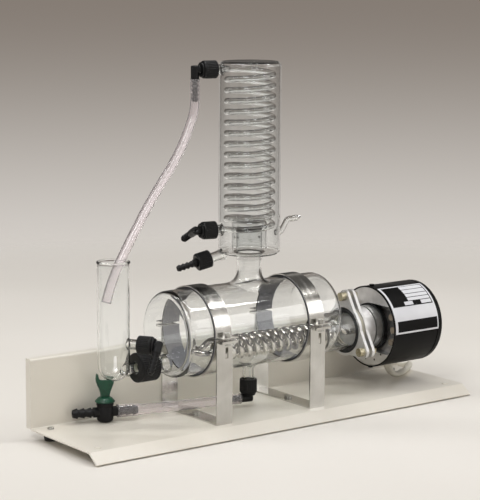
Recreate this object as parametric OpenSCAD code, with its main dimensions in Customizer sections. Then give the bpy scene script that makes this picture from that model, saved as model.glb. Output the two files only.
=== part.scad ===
// Glass water distiller on a folded sheet-metal tray. Millimetres, +Z up.
// The origin is the middle of the tray's footprint, at the level of the feet's soles.

/* [Tray] */
// Length of the tray
tray_l = 550; // [540:10:700]
// Depth of the flat plate, from the front bend to the panel's face
plate_d = 120; // [118:1:140]
// Thickness of the sheet metal
sheet = 1.5; // [1.2:0.1:2]
// Inner radius of the sheet's bends
bend_r = 1.5; // [1:0.5:2.5]
// Height of the back panel above the plate
panel_h = 80; // [76:1:86]
// Width of the panel's folded return flanges
return_w = 10; // [8:1:14]
// How far the front lip reaches forward of the bend
lip_reach = 15.6; // [12:0.2:20]
// Slope of the front lip in degrees
lip_slope = 36; // [30:1:38]
// Height of the rubber feet
foot_h = 11.5; // [11:0.5:15]
// Radius of a foot at the tray
foot_r = 9; // [8:0.5:10]
// Distance of the feet from the tray's ends
foot_inset = 19; // [15:1:30]
// Distance of the feet from the front bend and from the panel
foot_margin = 11; // [10.5:0.5:16]
// Radius of the round part of a keyhole
keyhole_r = 4.9; // [4.5:0.1:6]
// Radius of the slot above it
keyslot_r = 3.1; // [2.5:0.1:3.3]
// Distance between the two keyholes
keyhole_spacing = 322; // [300:2:400]
// Height of the keyholes' round part above the plate
keyhole_z = 52; // [46:1:56]
// Height of the slot above the round part
keyslot_h = 14.6; // [12:0.2:16]

/* [Boiler] */
// Outer diameter of the boiler
boiler_d = 100; // [96:1:104]
// Wall of the boiler's glass
boiler_wall = 2.4; // [1.8:0.1:3]
// Length of the boiler
boiler_l = 224; // [216:1:236]
// Distance of the boiler's left end from the tray's left end
boiler_left = 145; // [140:1:150]
// Height of the boiler's axis above the plate
boiler_z = 100; // [98:1:104]
// Distance of the boiler's axis behind the front bend
axis_depth = 64.6; // [63:0.1:65]
// Radius of the boiler's shoulders
shoulder_r = 8; // [6:0.5:10]
// Distance of the vapour neck from the boiler's left end
neck_along = 119; // [116:1:122]
// Outer radius of the vapour neck
vapour_neck_r = 14.5; // [13:0.5:15]
// Outer radius of the heater's neck
heater_neck_r = 23.5; // [23:0.5:24]
// Distance of the heater's axis below the boiler's axis
heater_drop = 26.3; // [25.8:0.1:26.4]
// Length of the heater's neck
heater_neck_l = 41; // [40:1:48]
// Distance of the feed arm below the boiler's axis
feed_drop = 33; // [31:0.5:34]
// Outer radius of the feed arm
feed_r = 10.5; // [10:0.5:11]
// Wall of the small glass arms
arm_wall = 1.4; // [1.2:0.1:1.6]

/* [Brackets] */
// Width of the brackets and straps
strap_w = 22; // [18:1:24]
// Thickness of the brackets' flat bar
bar_t = 1.6; // [1.4:0.1:2]
// Thickness of the chromed straps
strap_t = 1.2; // [1:0.1:1.4]
// Thickness of the rubber linings
lining_t = 2; // [1.5:0.1:2.4]
// Distance of the left bracket's middle from the boiler's left end
left_bracket_along = 43.5; // [38:0.5:56]
// Distance of the right bracket's middle from the boiler's left end
right_bracket_along = 179.5; // [176:0.5:186]
// How far the ears stand out of the bracket's leg
ear_l = 10.5; // [11:0.5:14]
// Gap between the two straps' ears
ear_gap = 3; // [2:0.5:4]

/* [Condenser] */
// Outer diameter of the condenser jacket
jacket_d = 72; // [69:0.5:76]
// Wall of the jacket
jacket_wall = 2; // [1.6:0.1:2.2]
// Height of the jacket
jacket_h = 223; // [222:1:260]
// Radius of the jacket's rounded ends
jacket_corner_r = 9; // [8:0.5:12]
// Height of the jacket's bottom above the boiler's top
jacket_lift = 33.5; // [32:0.5:40]
// Compass direction of the water arms about the jacket's axis, in degrees
port_turn = 168; // [160:1:176]
// Number of turns of the cooling coil
coil_turns = 15; // [13:1:15]
// Diameter of the coil's glass tube
coil_tube_d = 8; // [7:0.5:8.5]
// Gap between the coil and the jacket's wall
coil_clear = 3.5; // [3:0.5:8]
// Radius of the bend that leads the coil out to its arms
coil_exit_r = 10; // [9:0.5:10]
// Height of the coil's lower arm above the jacket's bottom
inlet_rise = 29.5; // [29:0.5:34]
// Height of the coil's upper arm above the lower arm
coil_rise = 185; // [182:1:186]
// Outer radius of the vapour riser
riser_r = 15.4; // [15:0.1:15.8]
// Height of the riser's open top above the jacket's bottom
riser_top = 30; // [24:1:32]
// Outer radius of the splash cap over the riser
splash_r = 20.7; // [20.4:0.1:21]

/* [Screw cap fittings] */
// Outer radius of a small screw cap
cap_r = 10.3; // [10:0.1:10.8]
// Length of a small screw cap
cap_l = 17; // [16:0.5:18]
// Outer radius of the glass thread in a small cap
thread_r = 7; // [6.6:0.1:7.2]
// Distance of a water arm's cap from the jacket's wall
cap_stand = 7.5; // [6.5:0.5:9]
// Radius of a hose elbow's body
elbow_r = 4.9; // [4.6:0.1:5]
// Distance of a water elbow's corner from the cap's outer face
elbow_stand = 8.8; // [7:0.2:10]
// The same at the overflow and at the drain
low_elbow_stand = 6.2; // [5.8:0.1:7]
// Length of a hose tail from the corner to its tip
tail_l = 36; // [34:0.5:38]
// Radius of a hose tail's ribs
rib_r = 4.2; // [4:0.05:4.25]
// Outer radius of the large screw cap
feed_cap_r = 17; // [16:0.5:18]
// Length of the large screw cap
feed_cap_l = 25; // [23:0.5:26]

/* [Level tube] */
// Outer radius of the level tube
level_r = 18.2; // [17.6:0.1:19]
// Wall of the level tube
level_wall = 1.5; // [1.2:0.1:1.6]
// Distance of the level tube's axis from the tray's left end
level_along = 75; // [73:0.5:76]
// Height of the level tube's rounded bottom above the plate
level_z = 56; // [54:0.5:57]
// Length of the level tube
level_l = 136; // [130:1:140]
// Height of the overflow arm above the level tube's bottom
overflow_rise = 43.5; // [40:0.5:48]
// Compass direction of the overflow arm, in degrees
overflow_turn = -55; // [-60:1:-50]

/* [Drain] */
// Distance of the valve's middle from the tray's left end
valve_along = 86.5; // [84:0.5:88]
// Distance of the valve's middle behind the front bend
valve_depth = 101; // [99:0.5:102]
// Radius of the valve's body
valve_r = 9.5; // [9:0.1:10]
// Height of the valve's tails above the plate
valve_z = 11.5; // [11:0.1:12]
// Compass direction of the valve's tails, in degrees
valve_turn = -19; // [-22:1:-16]
// Length of a valve tail from the middle to its tip
valve_tail_l = 38; // [36:0.5:40]
// Radius of the valve tails' ribs
valve_rib_r = 6; // [5.6:0.1:6.1]

/* [Heater] */
// Diameter of the heater's sheathed tube
element_d = 7; // [6:0.5:7.5]
// Mean radius of the element's winding
element_r = 11.5; // [11:0.5:12]
// Number of turns of each of the element's two strands
element_turns = 8; // [5:1:8]
// Distance of the element's tip from the boiler's left end
element_tip = 40; // [34:1:46]
// Distance of a flange bolt from the heater's axis
bolt_circle_r = 42; // [41:0.5:44]
// Radius of the flange plates' corners
flange_corner_r = 8; // [7.5:0.5:9]
// Thickness of a flange plate
flange_t = 4; // [3.5:0.5:5]
// Outer radius of the black cover
cover_r = 50.4; // [49:0.2:52]
// Length of the black cover
cover_l = 81; // [78:1:86]
// Wall of the black cover
cover_wall = 1.5; // [1.2:0.1:2]
// Distance of the cover from the flange's face
cover_stand = 26.3; // [24:0.1:30]

/* [Mains lead] */
// Diameter of the mains lead
lead_d = 7.5; // [7:0.1:7.5]

/* [Hidden] */

$fn = 48;
// overrun of a cut past the face that it opens, and the play between pieces that move or slip in
over = 1;
play = 0.3;
touch = 0.1;

// the tray's corner, the plate's top and the main axes in the part's frame
x0 = -tray_l / 2;
y0 = -(plate_d + return_w - lip_reach) / 2;
z0 = foot_h + sheet;
axis_y = y0 + axis_depth;
boiler_r = boiler_d / 2;
boiler_x = x0 + boiler_left;
boiler_axis_z = z0 + boiler_z;
neck_x = boiler_x + neck_along;
heater_z = boiler_axis_z - heater_drop;
jacket_r = jacket_d / 2;
coil_r = jacket_r - jacket_wall - coil_clear - coil_tube_d / 2;
jacket_z = boiler_axis_z + boiler_r + jacket_lift;

// the points of an arc about c, from angle a to angle b
function arc(c, r, a, b, n = 6) = [for (i = [0:n]) c + r * [cos(a + (b - a) * i / n), sin(a + (b - a) * i / n)]];
function flip(points) = [for (i = [len(points) - 1:-1:0]) points[i]];

// a ring about Z, and the same lying along X
module ring(r_out, r_in, h) {
    difference() {
        cylinder(r = r_out, h = h);
        translate([0, 0, -over]) cylinder(r = r_in, h = h + 2 * over);
    }
}
module along_x() {
    rotate([0, 90, 0]) children();
}

// Tray: the section of the folded sheet, drawn in the YZ plane from the lip to the return flange
module sheet_section() {
    outer = bend_r + sheet;
    lip_c = [0, -outer];
    lip_dir = [-cos(lip_slope), -sin(lip_slope)];
    lip_run = (lip_reach - outer * sin(lip_slope)) / cos(lip_slope);
    fold_c = [plate_d - bend_r, bend_r];
    top_c = [plate_d + outer, panel_h - outer];
    lip_top = arc(lip_c, outer, 90 + lip_slope, 90);
    lip_under = arc(lip_c, bend_r, 90 + lip_slope, 90);
    polygon(concat(
        [lip_top[0] + lip_run * lip_dir], lip_top, arc(fold_c, bend_r, -90, 0), arc(top_c, outer, 180, 90),
        [[plate_d + return_w, panel_h], [plate_d + return_w, panel_h - sheet]], arc(top_c, bend_r, 90, 180),
        arc(fold_c, outer, 0, -90), flip(lip_under), [lip_under[0] + lip_run * lip_dir]));
}

module keyhole() {
    rotate([90, 0, 0]) translate([0, 0, -sheet - over]) {
        cylinder(r = keyhole_r, h = sheet + 2 * over);
        translate([-keyslot_r, 0, 0]) cube([2 * keyslot_r, keyslot_h, sheet + 2 * over]);
        translate([0, keyslot_h, 0]) cylinder(r = keyslot_r, h = sheet + 2 * over);
    }
}

foot_places = [for (x = [x0 + foot_inset, -x0 - foot_inset])
    for (y = [y0 + foot_margin, y0 + plate_d - foot_margin]) [x, y]];
foot_screw_r = 2;
foot_head_r = 3.8;
foot_head_h = 2.2;
foot_insert_share = 0.7;
foot_sole_share = 0.78;
bracket_xs = [boiler_x + left_bracket_along, boiler_x + right_bracket_along];

module base_tray() {
    color("antiquewhite") difference() {
        union() {
            translate([x0, y0, z0]) rotate([90, 0, 90]) linear_extrude(tray_l) sheet_section();
            for (x = [x0, -x0 - sheet])
                translate([x, y0 + plate_d + bend_r, z0]) cube([sheet, return_w - bend_r, panel_h]);
        }
        for (side = [-1, 1])
            translate([side * keyhole_spacing / 2, y0 + plate_d, z0 + keyhole_z]) keyhole();
        for (p = foot_places)
            translate([p[0], p[1], foot_h - over]) cylinder(r = foot_screw_r, h = sheet + 2 * over);
        for (x = bracket_xs)
            translate([x, axis_y, foot_h - over]) cylinder(r = bracket_screw_r, h = sheet + 2 * over);
    }
}

module rubber_feet() {
    color("black") for (p = foot_places) translate([p[0], p[1], 0]) difference() {
        cylinder(r1 = foot_r * foot_sole_share, r2 = foot_r, h = foot_h);
        translate([0, 0, foot_h * (1 - foot_insert_share)]) cylinder(r = foot_screw_r, h = foot_h);
    }
}

// a pan head on a shank that reaches down by the given length, its seat at the origin
module pan_screw(r, head_r, head_h, length) {
    translate([0, 0, -length]) cylinder(r = r, h = length + head_h);
    cylinder(r = head_r, h = head_h);
}

module foot_screws() {
    color("silver") for (p = foot_places) translate([p[0], p[1], z0])
        pan_screw(foot_screw_r, foot_head_r, foot_head_h, sheet + foot_h * foot_insert_share);
}

// Brackets: a flat bar bent to a U, with its two ends turned out as ears
strap_r = boiler_r + lining_t + strap_t;
leg_y = strap_r + touch;
leg_out = leg_y + bar_t;
ear_top = boiler_axis_z - ear_gap / 2 - strap_t;
ear_end = leg_out + ear_l;
screw_y = leg_out + ear_l / 2;
bracket_screw_r = 2.5;
bracket_head_r = 4.5;
bracket_head_h = 2.6;
bracket_nut_h = 4;
leg_slot_w = 4;
leg_slot_h = 12.7;
leg_slot_side = 3;
leg_slot_drop = 8;

module bracket(x) {
    color("silver") translate([x - strap_w / 2, axis_y, 0]) difference() {
        union() {
            translate([0, -leg_out, z0]) cube([strap_w, 2 * leg_out, bar_t]);
            for (side = [0, 1]) mirror([0, side, 0]) {
                translate([0, leg_y, z0]) cube([strap_w, bar_t, ear_top - z0]);
                translate([0, leg_y, ear_top - bar_t]) cube([strap_w, ear_end - leg_y, bar_t]);
            }
        }
        translate([strap_w / 2 + leg_slot_side - leg_slot_w / 2, -leg_out - over,
            ear_top - leg_slot_drop - leg_slot_h]) cube([leg_slot_w, bar_t + 2 * over, leg_slot_h]);
        translate([strap_w / 2, 0, z0 - over]) cylinder(r = bracket_screw_r, h = bar_t + 2 * over);
        for (side = [-1, 1]) translate([strap_w / 2, side * screw_y, ear_top - bar_t - over])
            cylinder(r = strap_screw_r, h = bar_t + 2 * over);
    }
}
module left_bracket() bracket(bracket_xs[0]);
module right_bracket() bracket(bracket_xs[1]);

module bracket_screws() {
    color("silver") for (x = bracket_xs) {
        translate([x, axis_y, z0 + bar_t])
            pan_screw(bracket_screw_r, bracket_head_r, bracket_head_h, bar_t + sheet + bracket_nut_h);
        translate([x, axis_y, foot_h - bracket_nut_h])
            cylinder(r = bracket_head_r, h = bracket_nut_h, $fn = 6);
    }
}

// Straps: two chromed half rings round the boiler, with ears that the screws draw together
strap_screw_r = 2;
strap_head_r = 3.5;
strap_head_h = 4.4;
strap_nut_r = 4;
strap_nut_h = 3.2;

// a half ring round the boiler, up on +Z, cut off at half the ears' gap
module half_ring(x, r_out, r_in, w) {
    translate([x - w / 2, axis_y, boiler_axis_z]) intersection() {
        along_x() ring(r_out, r_in, w);
        translate([-over, -r_out - over, ear_gap / 2]) cube([w + 2 * over, 2 * r_out + 2 * over, r_out]);
    }
}
module upper_strap(x) {
    color("gainsboro") difference() {
        union() {
            half_ring(x, strap_r, strap_r - strap_t, strap_w);
            for (side = [0, 1]) translate([x - strap_w / 2, axis_y, boiler_axis_z + ear_gap / 2])
                mirror([0, side, 0]) translate([0, strap_r - strap_t / 2, 0])
                    cube([strap_w, ear_end - strap_r + strap_t / 2, strap_t]);
        }
        for (side = [-1, 1]) translate([x, axis_y + side * screw_y, boiler_axis_z - over])
            cylinder(r = strap_screw_r, h = ear_gap + strap_t + 2 * over);
    }
}
module lower_strap(x) {
    translate([0, 0, 2 * boiler_axis_z]) mirror([0, 0, 1]) upper_strap(x);
}
module left_upper_strap() upper_strap(bracket_xs[0]);
module right_upper_strap() upper_strap(bracket_xs[1]);
module left_lower_strap() lower_strap(bracket_xs[0]);
module right_lower_strap() lower_strap(bracket_xs[1]);

module strap_linings() {
    color("black") for (x = bracket_xs) for (side = [0, 1])
        translate([0, 0, 2 * side * boiler_axis_z]) mirror([0, 0, side])
            half_ring(x, boiler_r + lining_t, boiler_r, strap_w + strap_t);
}

socket_share = 0.5;
module strap_screws() {
    seat = boiler_axis_z + ear_gap / 2 + strap_t;
    reach = seat - ear_top + bar_t + strap_nut_h;
    color("silver") for (x = bracket_xs) for (side = [-1, 1])
        translate([x, axis_y + side * screw_y, seat]) difference() {
            pan_screw(strap_screw_r, strap_head_r, strap_head_h, reach);
            translate([0, 0, strap_head_h * socket_share])
                cylinder(r = strap_head_r * socket_share, h = strap_head_h, $fn = 6);
        }
}
module strap_nuts() {
    color("silver") for (x = bracket_xs) for (side = [-1, 1])
        translate([x, axis_y + side * screw_y, ear_top - bar_t - strap_nut_h]) difference() {
            cylinder(r = strap_nut_r, h = strap_nut_h, $fn = 6);
            translate([0, 0, -over]) cylinder(r = strap_screw_r, h = strap_nut_h + 2 * over);
        }
}

// Sweeping: a tube along points, its cross-section carried along without twist
function unit(v) = v / norm(v);
function tangents(p) = let(n = len(p) - 1) [for (i = [0:n]) unit(p[min(i + 1, n)] - p[max(i - 1, 0)])];
function carried(v, t) = unit(v - (v * t) * t);
function normals(t, v) = let(n = len(t) - 1)
    [for (i = 0, m = carried(v, t[0]); i <= n; i = i + 1, m = carried(m, t[min(i, n)])) m];
function ring_points(p, t, m, r, sides) =
    [for (k = [0:sides - 1]) p + r * (cos(360 * k / sides) * m + sin(360 * k / sides) * cross(t, m))];
function skins(rows, sides) = [for (i = [0:rows - 2]) for (k = [0:sides - 1])
    let(a = i * sides + k, b = i * sides + (k + 1) % sides) each [[a, a + sides, b], [b, a + sides, b + sides]]];

// a solid tube along p, radius r, with v square to its start
module swept(p, r, sides, v) {
    t = tangents(p);
    m = normals(t, v);
    last = (len(p) - 1) * sides;
    polyhedron(
        points = [for (i = [0:len(p) - 1]) each ring_points(p[i], t[i], m[i], r, sides)],
        faces = concat(skins(len(p), sides),
            [for (k = [1:sides - 2]) [0, k, k + 1]], [for (k = [1:sides - 2]) [last, last + k + 1, last + k]]));
}

// a hose along p: lists of outer and inner radii, open at both ends
module swept_hose(p, r_out, r_in, sides, v) {
    t = tangents(p);
    m = normals(t, v);
    rows = len(p);
    size = rows * sides;
    last = size - sides;
    polyhedron(
        points = concat(
            [for (i = [0:rows - 1]) each ring_points(p[i], t[i], m[i], r_out[i], sides)],
            [for (i = [0:rows - 1]) each ring_points(p[i], t[i], m[i], r_in[i], sides)]),
        faces = concat(skins(rows, sides),
            [for (f = skins(rows, sides)) [f[0] + size, f[2] + size, f[1] + size]],
            [for (k = [0:sides - 1]) let(n = (k + 1) % sides)
                each [[k, n, size + k], [n, size + n, size + k]]],
            [for (k = [0:sides - 1]) let(n = (k + 1) % sides, a = last + k, b = last + n)
                each [[a, size + a, b], [b, size + a, size + b]]]));
}

// the least distance between points of a path that lie at least skip points apart along it
function least_gap(p, skip) = min([for (i = [0:len(p) - skip - 1]) for (j = [i + skip:len(p) - 1])
    norm(p[i] - p[j])]);

// Glass: vessels are revolved, and their necks and arms are joined before the bores are cut
function vessel_profile(r, l, c) = concat(
    [[0, 0]], arc([r - c, c], c, -90, 0), arc([r - c, l - c], c, 0, 90), [[0, l]]);
module vessel(r, l, c) {
    rotate_extrude() polygon(vessel_profile(r, l, c));
}

flare_r = 9;
// a neck that flares where it meets the vessel, standing on the vessel's axis
module flared_neck(r, from, to) {
    rotate_extrude() polygon(concat(
        [[0, from - flare_r]], [[r + flare_r, from - flare_r]],
        arc([r + flare_r, from + flare_r], flare_r, -90, -180), [[r, to], [0, to]]));
}

// the small threaded arm, in the fitting's own frame: +X leads out, the cap's inner edge is the origin
cap_end_t = 2;
disc_t = 1.6;
disc_r = 6.5;
seal_t = 1.6;
cap_inside = cap_l - cap_end_t;
disc_at = cap_inside - touch - disc_t;
glass_end = disc_at - seal_t;
thread_core_share = 0.88;
thread_ridge_w = 1.4;
thread_pitch = 3.2;
arm_r = 5.7;
arm_bore_r = arm_r - arm_wall;
module threaded_arm(back) {
    translate([-back, 0, 0]) along_x() cylinder(r = arm_r, h = back + over);
    along_x() cylinder(r = thread_r * thread_core_share, h = glass_end);
    for (i = [0:2]) translate([glass_end - thread_ridge_w - i * thread_pitch, 0, 0])
        along_x() cylinder(r = thread_r, h = thread_ridge_w);
}
module arm_bore(back, r = arm_bore_r) {
    translate([-back, 0, 0]) along_x() cylinder(r = r, h = back + cap_l);
}

cap_chamfer = 1.2;
// a screw cap with an open end, in the same frame
module screw_cap(r, l, end_t, bore_r, hole_r) {
    along_x() rotate_extrude() polygon([
        [bore_r, 0], [r - cap_chamfer / 2, 0], [r, cap_chamfer / 2], [r, l - cap_chamfer],
        [r - cap_chamfer, l], [hole_r, l], [hole_r, l - end_t], [bore_r, l - end_t]]);
}
module small_cap() {
    color([0.08, 0.08, 0.09]) screw_cap(cap_r, cap_l, cap_end_t, thread_r + play, elbow_r + play);
}
module small_seal() {
    color("salmon") translate([glass_end, 0, 0]) along_x() ring(disc_r, arm_bore_r, seal_t);
}

// a ribbed hose tail along +X, from its shoulder to its tip
tail_bore_r = 1.9;
rib_count = 5;
rib_core_share = 0.72;
shoulder_l = 10.5;
module ribbed_tail(r, from, to, ribs) {
    step = (to - from) / ribs;
    core = r * rib_core_share;
    along_x() translate([0, 0, from]) cylinder(r = core, h = to - from);
    for (i = [0:ribs - 1]) translate([from + (i + rib_core_share / 2) * step, 0, 0])
        along_x() cylinder(r1 = r, r2 = core, h = step * rib_core_share);
}

// an elbow in the fitting's frame, its tail turned about the arm by the given angle from -Z
module elbow(stand, turn) {
    corner = cap_l + stand;
    color([0.08, 0.08, 0.09]) difference() {
        union() {
            translate([disc_at, 0, 0]) along_x() cylinder(r = disc_r, h = disc_t);
            translate([disc_at, 0, 0]) along_x() cylinder(r = elbow_r, h = corner - disc_at);
            translate([corner, 0, 0]) rotate([turn, 0, 0]) rotate([0, 90, 0]) {
                sphere(r = elbow_r);
                along_x() cylinder(r = elbow_r, h = shoulder_l);
                ribbed_tail(rib_r, shoulder_l, tail_l, rib_count);
            }
        }
        translate([disc_at - over, 0, 0]) along_x() cylinder(r = tail_bore_r, h = corner - disc_at + over);
        translate([corner, 0, 0]) rotate([turn, 0, 0]) rotate([0, 90, 0])
            along_x() cylinder(r = tail_bore_r, h = tail_l + over);
    }
}

// Boiler: one blown vessel with its vapour neck, drain, feed arm and heater neck
feed_z = boiler_axis_z - feed_drop;
feed_stand = 16.6;
feed_x = boiler_x - feed_stand;
feed_thread_r = 12.2;
feed_end_t = 2.5;
feed_seal_t = 4;
feed_bore_r = feed_r - arm_wall;
feed_glass_end = feed_cap_l - feed_end_t - feed_seal_t - touch;
drain_stand = 17;
drain_z = boiler_axis_z - boiler_r - drain_stand;
neck_end_x = boiler_x + boiler_l + heater_neck_l;
bead_r = 27;
bead_w = 3.6;
bead_x = neck_end_x + flange_t - bead_w / 6;

module boiler_glass() {
    color([0.85, 0.92, 0.92, 0.4]) difference() {
        union() {
            translate([boiler_x, axis_y, boiler_axis_z]) along_x() vessel(boiler_r, boiler_l, shoulder_r);
            translate([neck_x, axis_y, boiler_axis_z])
                flared_neck(vapour_neck_r, boiler_r, jacket_z - boiler_axis_z);
            translate([neck_x, axis_y, drain_z]) rotate([0, 90, 0]) threaded_arm(drain_stand + shoulder_r);
            translate([boiler_x + boiler_l - shoulder_r, axis_y, heater_z]) along_x()
                cylinder(r = heater_neck_r, h = shoulder_r + heater_neck_l + flange_t);
            translate([bead_x, axis_y, heater_z]) along_x() cylinder(r = bead_r, h = bead_w);
            translate([feed_x, axis_y, feed_z]) mirror([1, 0, 0]) {
                translate([-feed_stand - shoulder_r, 0, 0]) along_x()
                    cylinder(r = feed_r, h = feed_stand + shoulder_r + feed_glass_end);
                for (i = [0:2]) translate([feed_glass_end - thread_ridge_w - i * thread_pitch, 0, 0])
                    along_x() cylinder(r = feed_thread_r, h = thread_ridge_w);
            }
        }
        translate([boiler_x + boiler_wall, axis_y, boiler_axis_z]) along_x()
            vessel(boiler_r - boiler_wall, boiler_l - 2 * boiler_wall, shoulder_r - boiler_wall / 2);
        translate([neck_x, axis_y, boiler_axis_z]) cylinder(r = vapour_neck_r - boiler_wall, h = jacket_z);
        translate([neck_x, axis_y, drain_z]) rotate([0, 90, 0]) arm_bore(drain_stand + 2 * shoulder_r);
        translate([boiler_x + boiler_l / 2, axis_y, heater_z]) along_x()
            cylinder(r = heater_neck_r - boiler_wall, h = boiler_l);
        translate([feed_x, axis_y, feed_z]) mirror([1, 0, 0])
            translate([-feed_stand - 2 * shoulder_r, 0, 0]) along_x()
                cylinder(r = feed_bore_r, h = feed_stand + 2 * shoulder_r + feed_cap_l);
    }
}

// Condenser: a closed jacket on the vapour neck, with threaded arms at one side and a bent vent
inlet_z = jacket_z + inlet_rise;
outlet_z = inlet_z + coil_rise;
distillate_tilt = 13.5;
distillate_at = 2;
distillate_rise = 0.6;
distillate_stand = 17;
vent_r = 3.5;
vent_rise = 22;
vent_in = 5;
vent_out = 1.2;
vent_bend_r = 5.6;
vent_mid_l = 10.9;
vent_tail_l = 10.2;
vent_up = 60;
vent_down = 54;

// carries a fitting to one of the jacket's arms
module at_port(z) {
    translate([neck_x, axis_y, z]) rotate([0, 0, port_turn]) translate([jacket_r + cap_stand, 0, 0]) children();
}
module at_distillate() {
    translate([neck_x, axis_y, jacket_z + distillate_rise]) rotate([0, 0, port_turn])
        translate([jacket_r - distillate_at, 0, 0]) rotate([0, distillate_tilt, 0])
            translate([distillate_stand, 0, 0]) children();
}
// an arc of tube from the origin, heading along +X and bending up; the children stand at its end
module bend_up(r, bore_r, bend_r, turn) {
    translate([0, 0, bend_r]) rotate([90, 0, 0]) rotate([0, 0, -90])
        rotate_extrude(angle = turn) translate([bend_r, 0]) difference() {
            circle(r = r);
            circle(r = bore_r);
        }
    translate([bend_r * sin(turn), 0, bend_r * (1 - cos(turn))]) rotate([0, -turn, 0]) children();
}
module at_vent() {
    translate([neck_x, axis_y, jacket_z + vent_rise]) rotate([0, 0, port_turn + 180])
        translate([jacket_r, 0, 0]) children();
}
module bent_vent() {
    bore_r = vent_r - arm_wall;
    at_vent() translate([vent_out, 0, 0]) bend_up(vent_r, bore_r, vent_bend_r, vent_up) {
        along_x() ring(vent_r, bore_r, vent_mid_l);
        translate([vent_mid_l, 0, 0]) rotate([180, 0, 0]) bend_up(vent_r, bore_r, vent_bend_r, vent_down)
            along_x() ring(vent_r, bore_r, vent_tail_l);
    }
}

module condenser_jacket() {
    color([0.85, 0.92, 0.92, 0.4]) bent_vent();
    color([0.85, 0.92, 0.92, 0.4]) difference() {
        union() {
            translate([neck_x, axis_y, jacket_z]) vessel(jacket_r, jacket_h, jacket_corner_r);
            for (z = [inlet_z, outlet_z]) at_port(z) threaded_arm(cap_stand + jacket_wall);
            at_distillate() threaded_arm(distillate_stand + jacket_wall);
            at_vent() translate([-vent_in, 0, 0]) along_x() cylinder(r = vent_r, h = vent_in + vent_out);
        }
        translate([neck_x, axis_y, jacket_z + jacket_wall])
            vessel(jacket_r - jacket_wall, jacket_h - 2 * jacket_wall, jacket_corner_r - jacket_wall);
        translate([neck_x, axis_y, jacket_z - over])
            cylinder(r = vapour_neck_r - boiler_wall, h = jacket_wall + 2 * over);
        for (z = [inlet_z, outlet_z]) at_port(z) arm_bore(cap_stand + jacket_wall + over);
        at_distillate() arm_bore(distillate_stand + jacket_wall + over);
        at_vent() translate([-vent_in - over, 0, 0]) along_x()
            cylinder(r = vent_r - arm_wall, h = vent_in + vent_out + 2 * over);
    }
}

module vapour_riser() {
    color([0.85, 0.92, 0.92, 0.4]) translate([neck_x, axis_y, jacket_z + jacket_wall])
        ring(riser_r, riser_r - arm_wall, riser_top - jacket_wall);
}

splash_lift = 6.5;
splash_h = 32;
splash_corner_r = 4;
peg_r = 1.2;
module splash_cap() {
    color([0.85, 0.92, 0.92, 0.4]) translate([neck_x, axis_y, jacket_z + splash_lift]) {
        difference() {
            translate([0, 0, splash_h]) mirror([0, 0, 1]) vessel(splash_r, splash_h + splash_corner_r, splash_corner_r);
            translate([0, 0, -splash_corner_r - over])
                vessel(splash_r - arm_wall, splash_h - arm_wall + splash_corner_r + over, splash_corner_r - arm_wall);
            translate([0, 0, -splash_h]) cylinder(r = jacket_r, h = splash_h);
        }
        for (a = [0:120:240]) rotate([0, 0, a]) translate([riser_r + touch, 0, splash_h / 3])
            along_x() cylinder(r = peg_r, h = splash_r - riser_r - arm_wall / 2);
    }
}

// Cooling coil: straight in from the lower arm, round the helix and straight out at the upper arm
coil_rings = 20;
coil_ease = asin(coil_exit_r / (coil_r + coil_exit_r));
coil_bend_x = (coil_r + coil_exit_r) * cos(coil_ease);
coil_sweep = 360 * coil_turns - 2 * coil_ease;
coil_in = concat([[coil_bend_x + coil_tube_d, 0, 0]],
    [for (i = [0:3]) let(a = -90 - (90 - coil_ease) * i / 4)
        [coil_bend_x + coil_exit_r * cos(a), coil_exit_r + coil_exit_r * sin(a), 0]]);
coil_helix = [for (i = [0:coil_turns * coil_rings]) let(s = i / (coil_turns * coil_rings), a = coil_ease + s * coil_sweep)
    [coil_r * cos(a), coil_r * sin(a), s * coil_rise]];
coil_points = concat(coil_in, coil_helix, flip([for (p = coil_in) [p[0], -p[1], coil_rise]]));
echo(condenser_coil_gap = least_gap(coil_points, coil_rings / 2) - coil_tube_d);

module condenser_coil() {
    color([0.85, 0.92, 0.92, 0.4]) translate([neck_x, axis_y, inlet_z]) rotate([0, 0, port_turn])
        swept(coil_points, coil_tube_d / 2, 6, [0, 0, 1]);
}

// Fittings on the condenser's arms
inlet_tail_turn = -67;
module outlet_cap() at_port(outlet_z) small_cap();
module inlet_cap() at_port(inlet_z) small_cap();
module distillate_cap() at_distillate() small_cap();
module outlet_elbow() at_port(outlet_z) elbow(elbow_stand, 0);
module inlet_elbow() at_port(inlet_z) elbow(elbow_stand, inlet_tail_turn);
straight_shoulder_l = 4;
straight_tail_l = 24.6;
module distillate_connector() {
    color([0.08, 0.08, 0.09]) at_distillate() difference() {
        union() {
            translate([disc_at, 0, 0]) along_x() cylinder(r = disc_r, h = disc_t);
            translate([disc_at, 0, 0]) along_x() cylinder(r = elbow_r, h = cap_l + straight_shoulder_l - disc_at);
            ribbed_tail(rib_r, cap_l + straight_shoulder_l, cap_l + straight_tail_l, rib_count - 1);
        }
        translate([disc_at - over, 0, 0]) along_x() cylinder(r = tail_bore_r, h = cap_l + straight_tail_l);
    }
}

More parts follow.
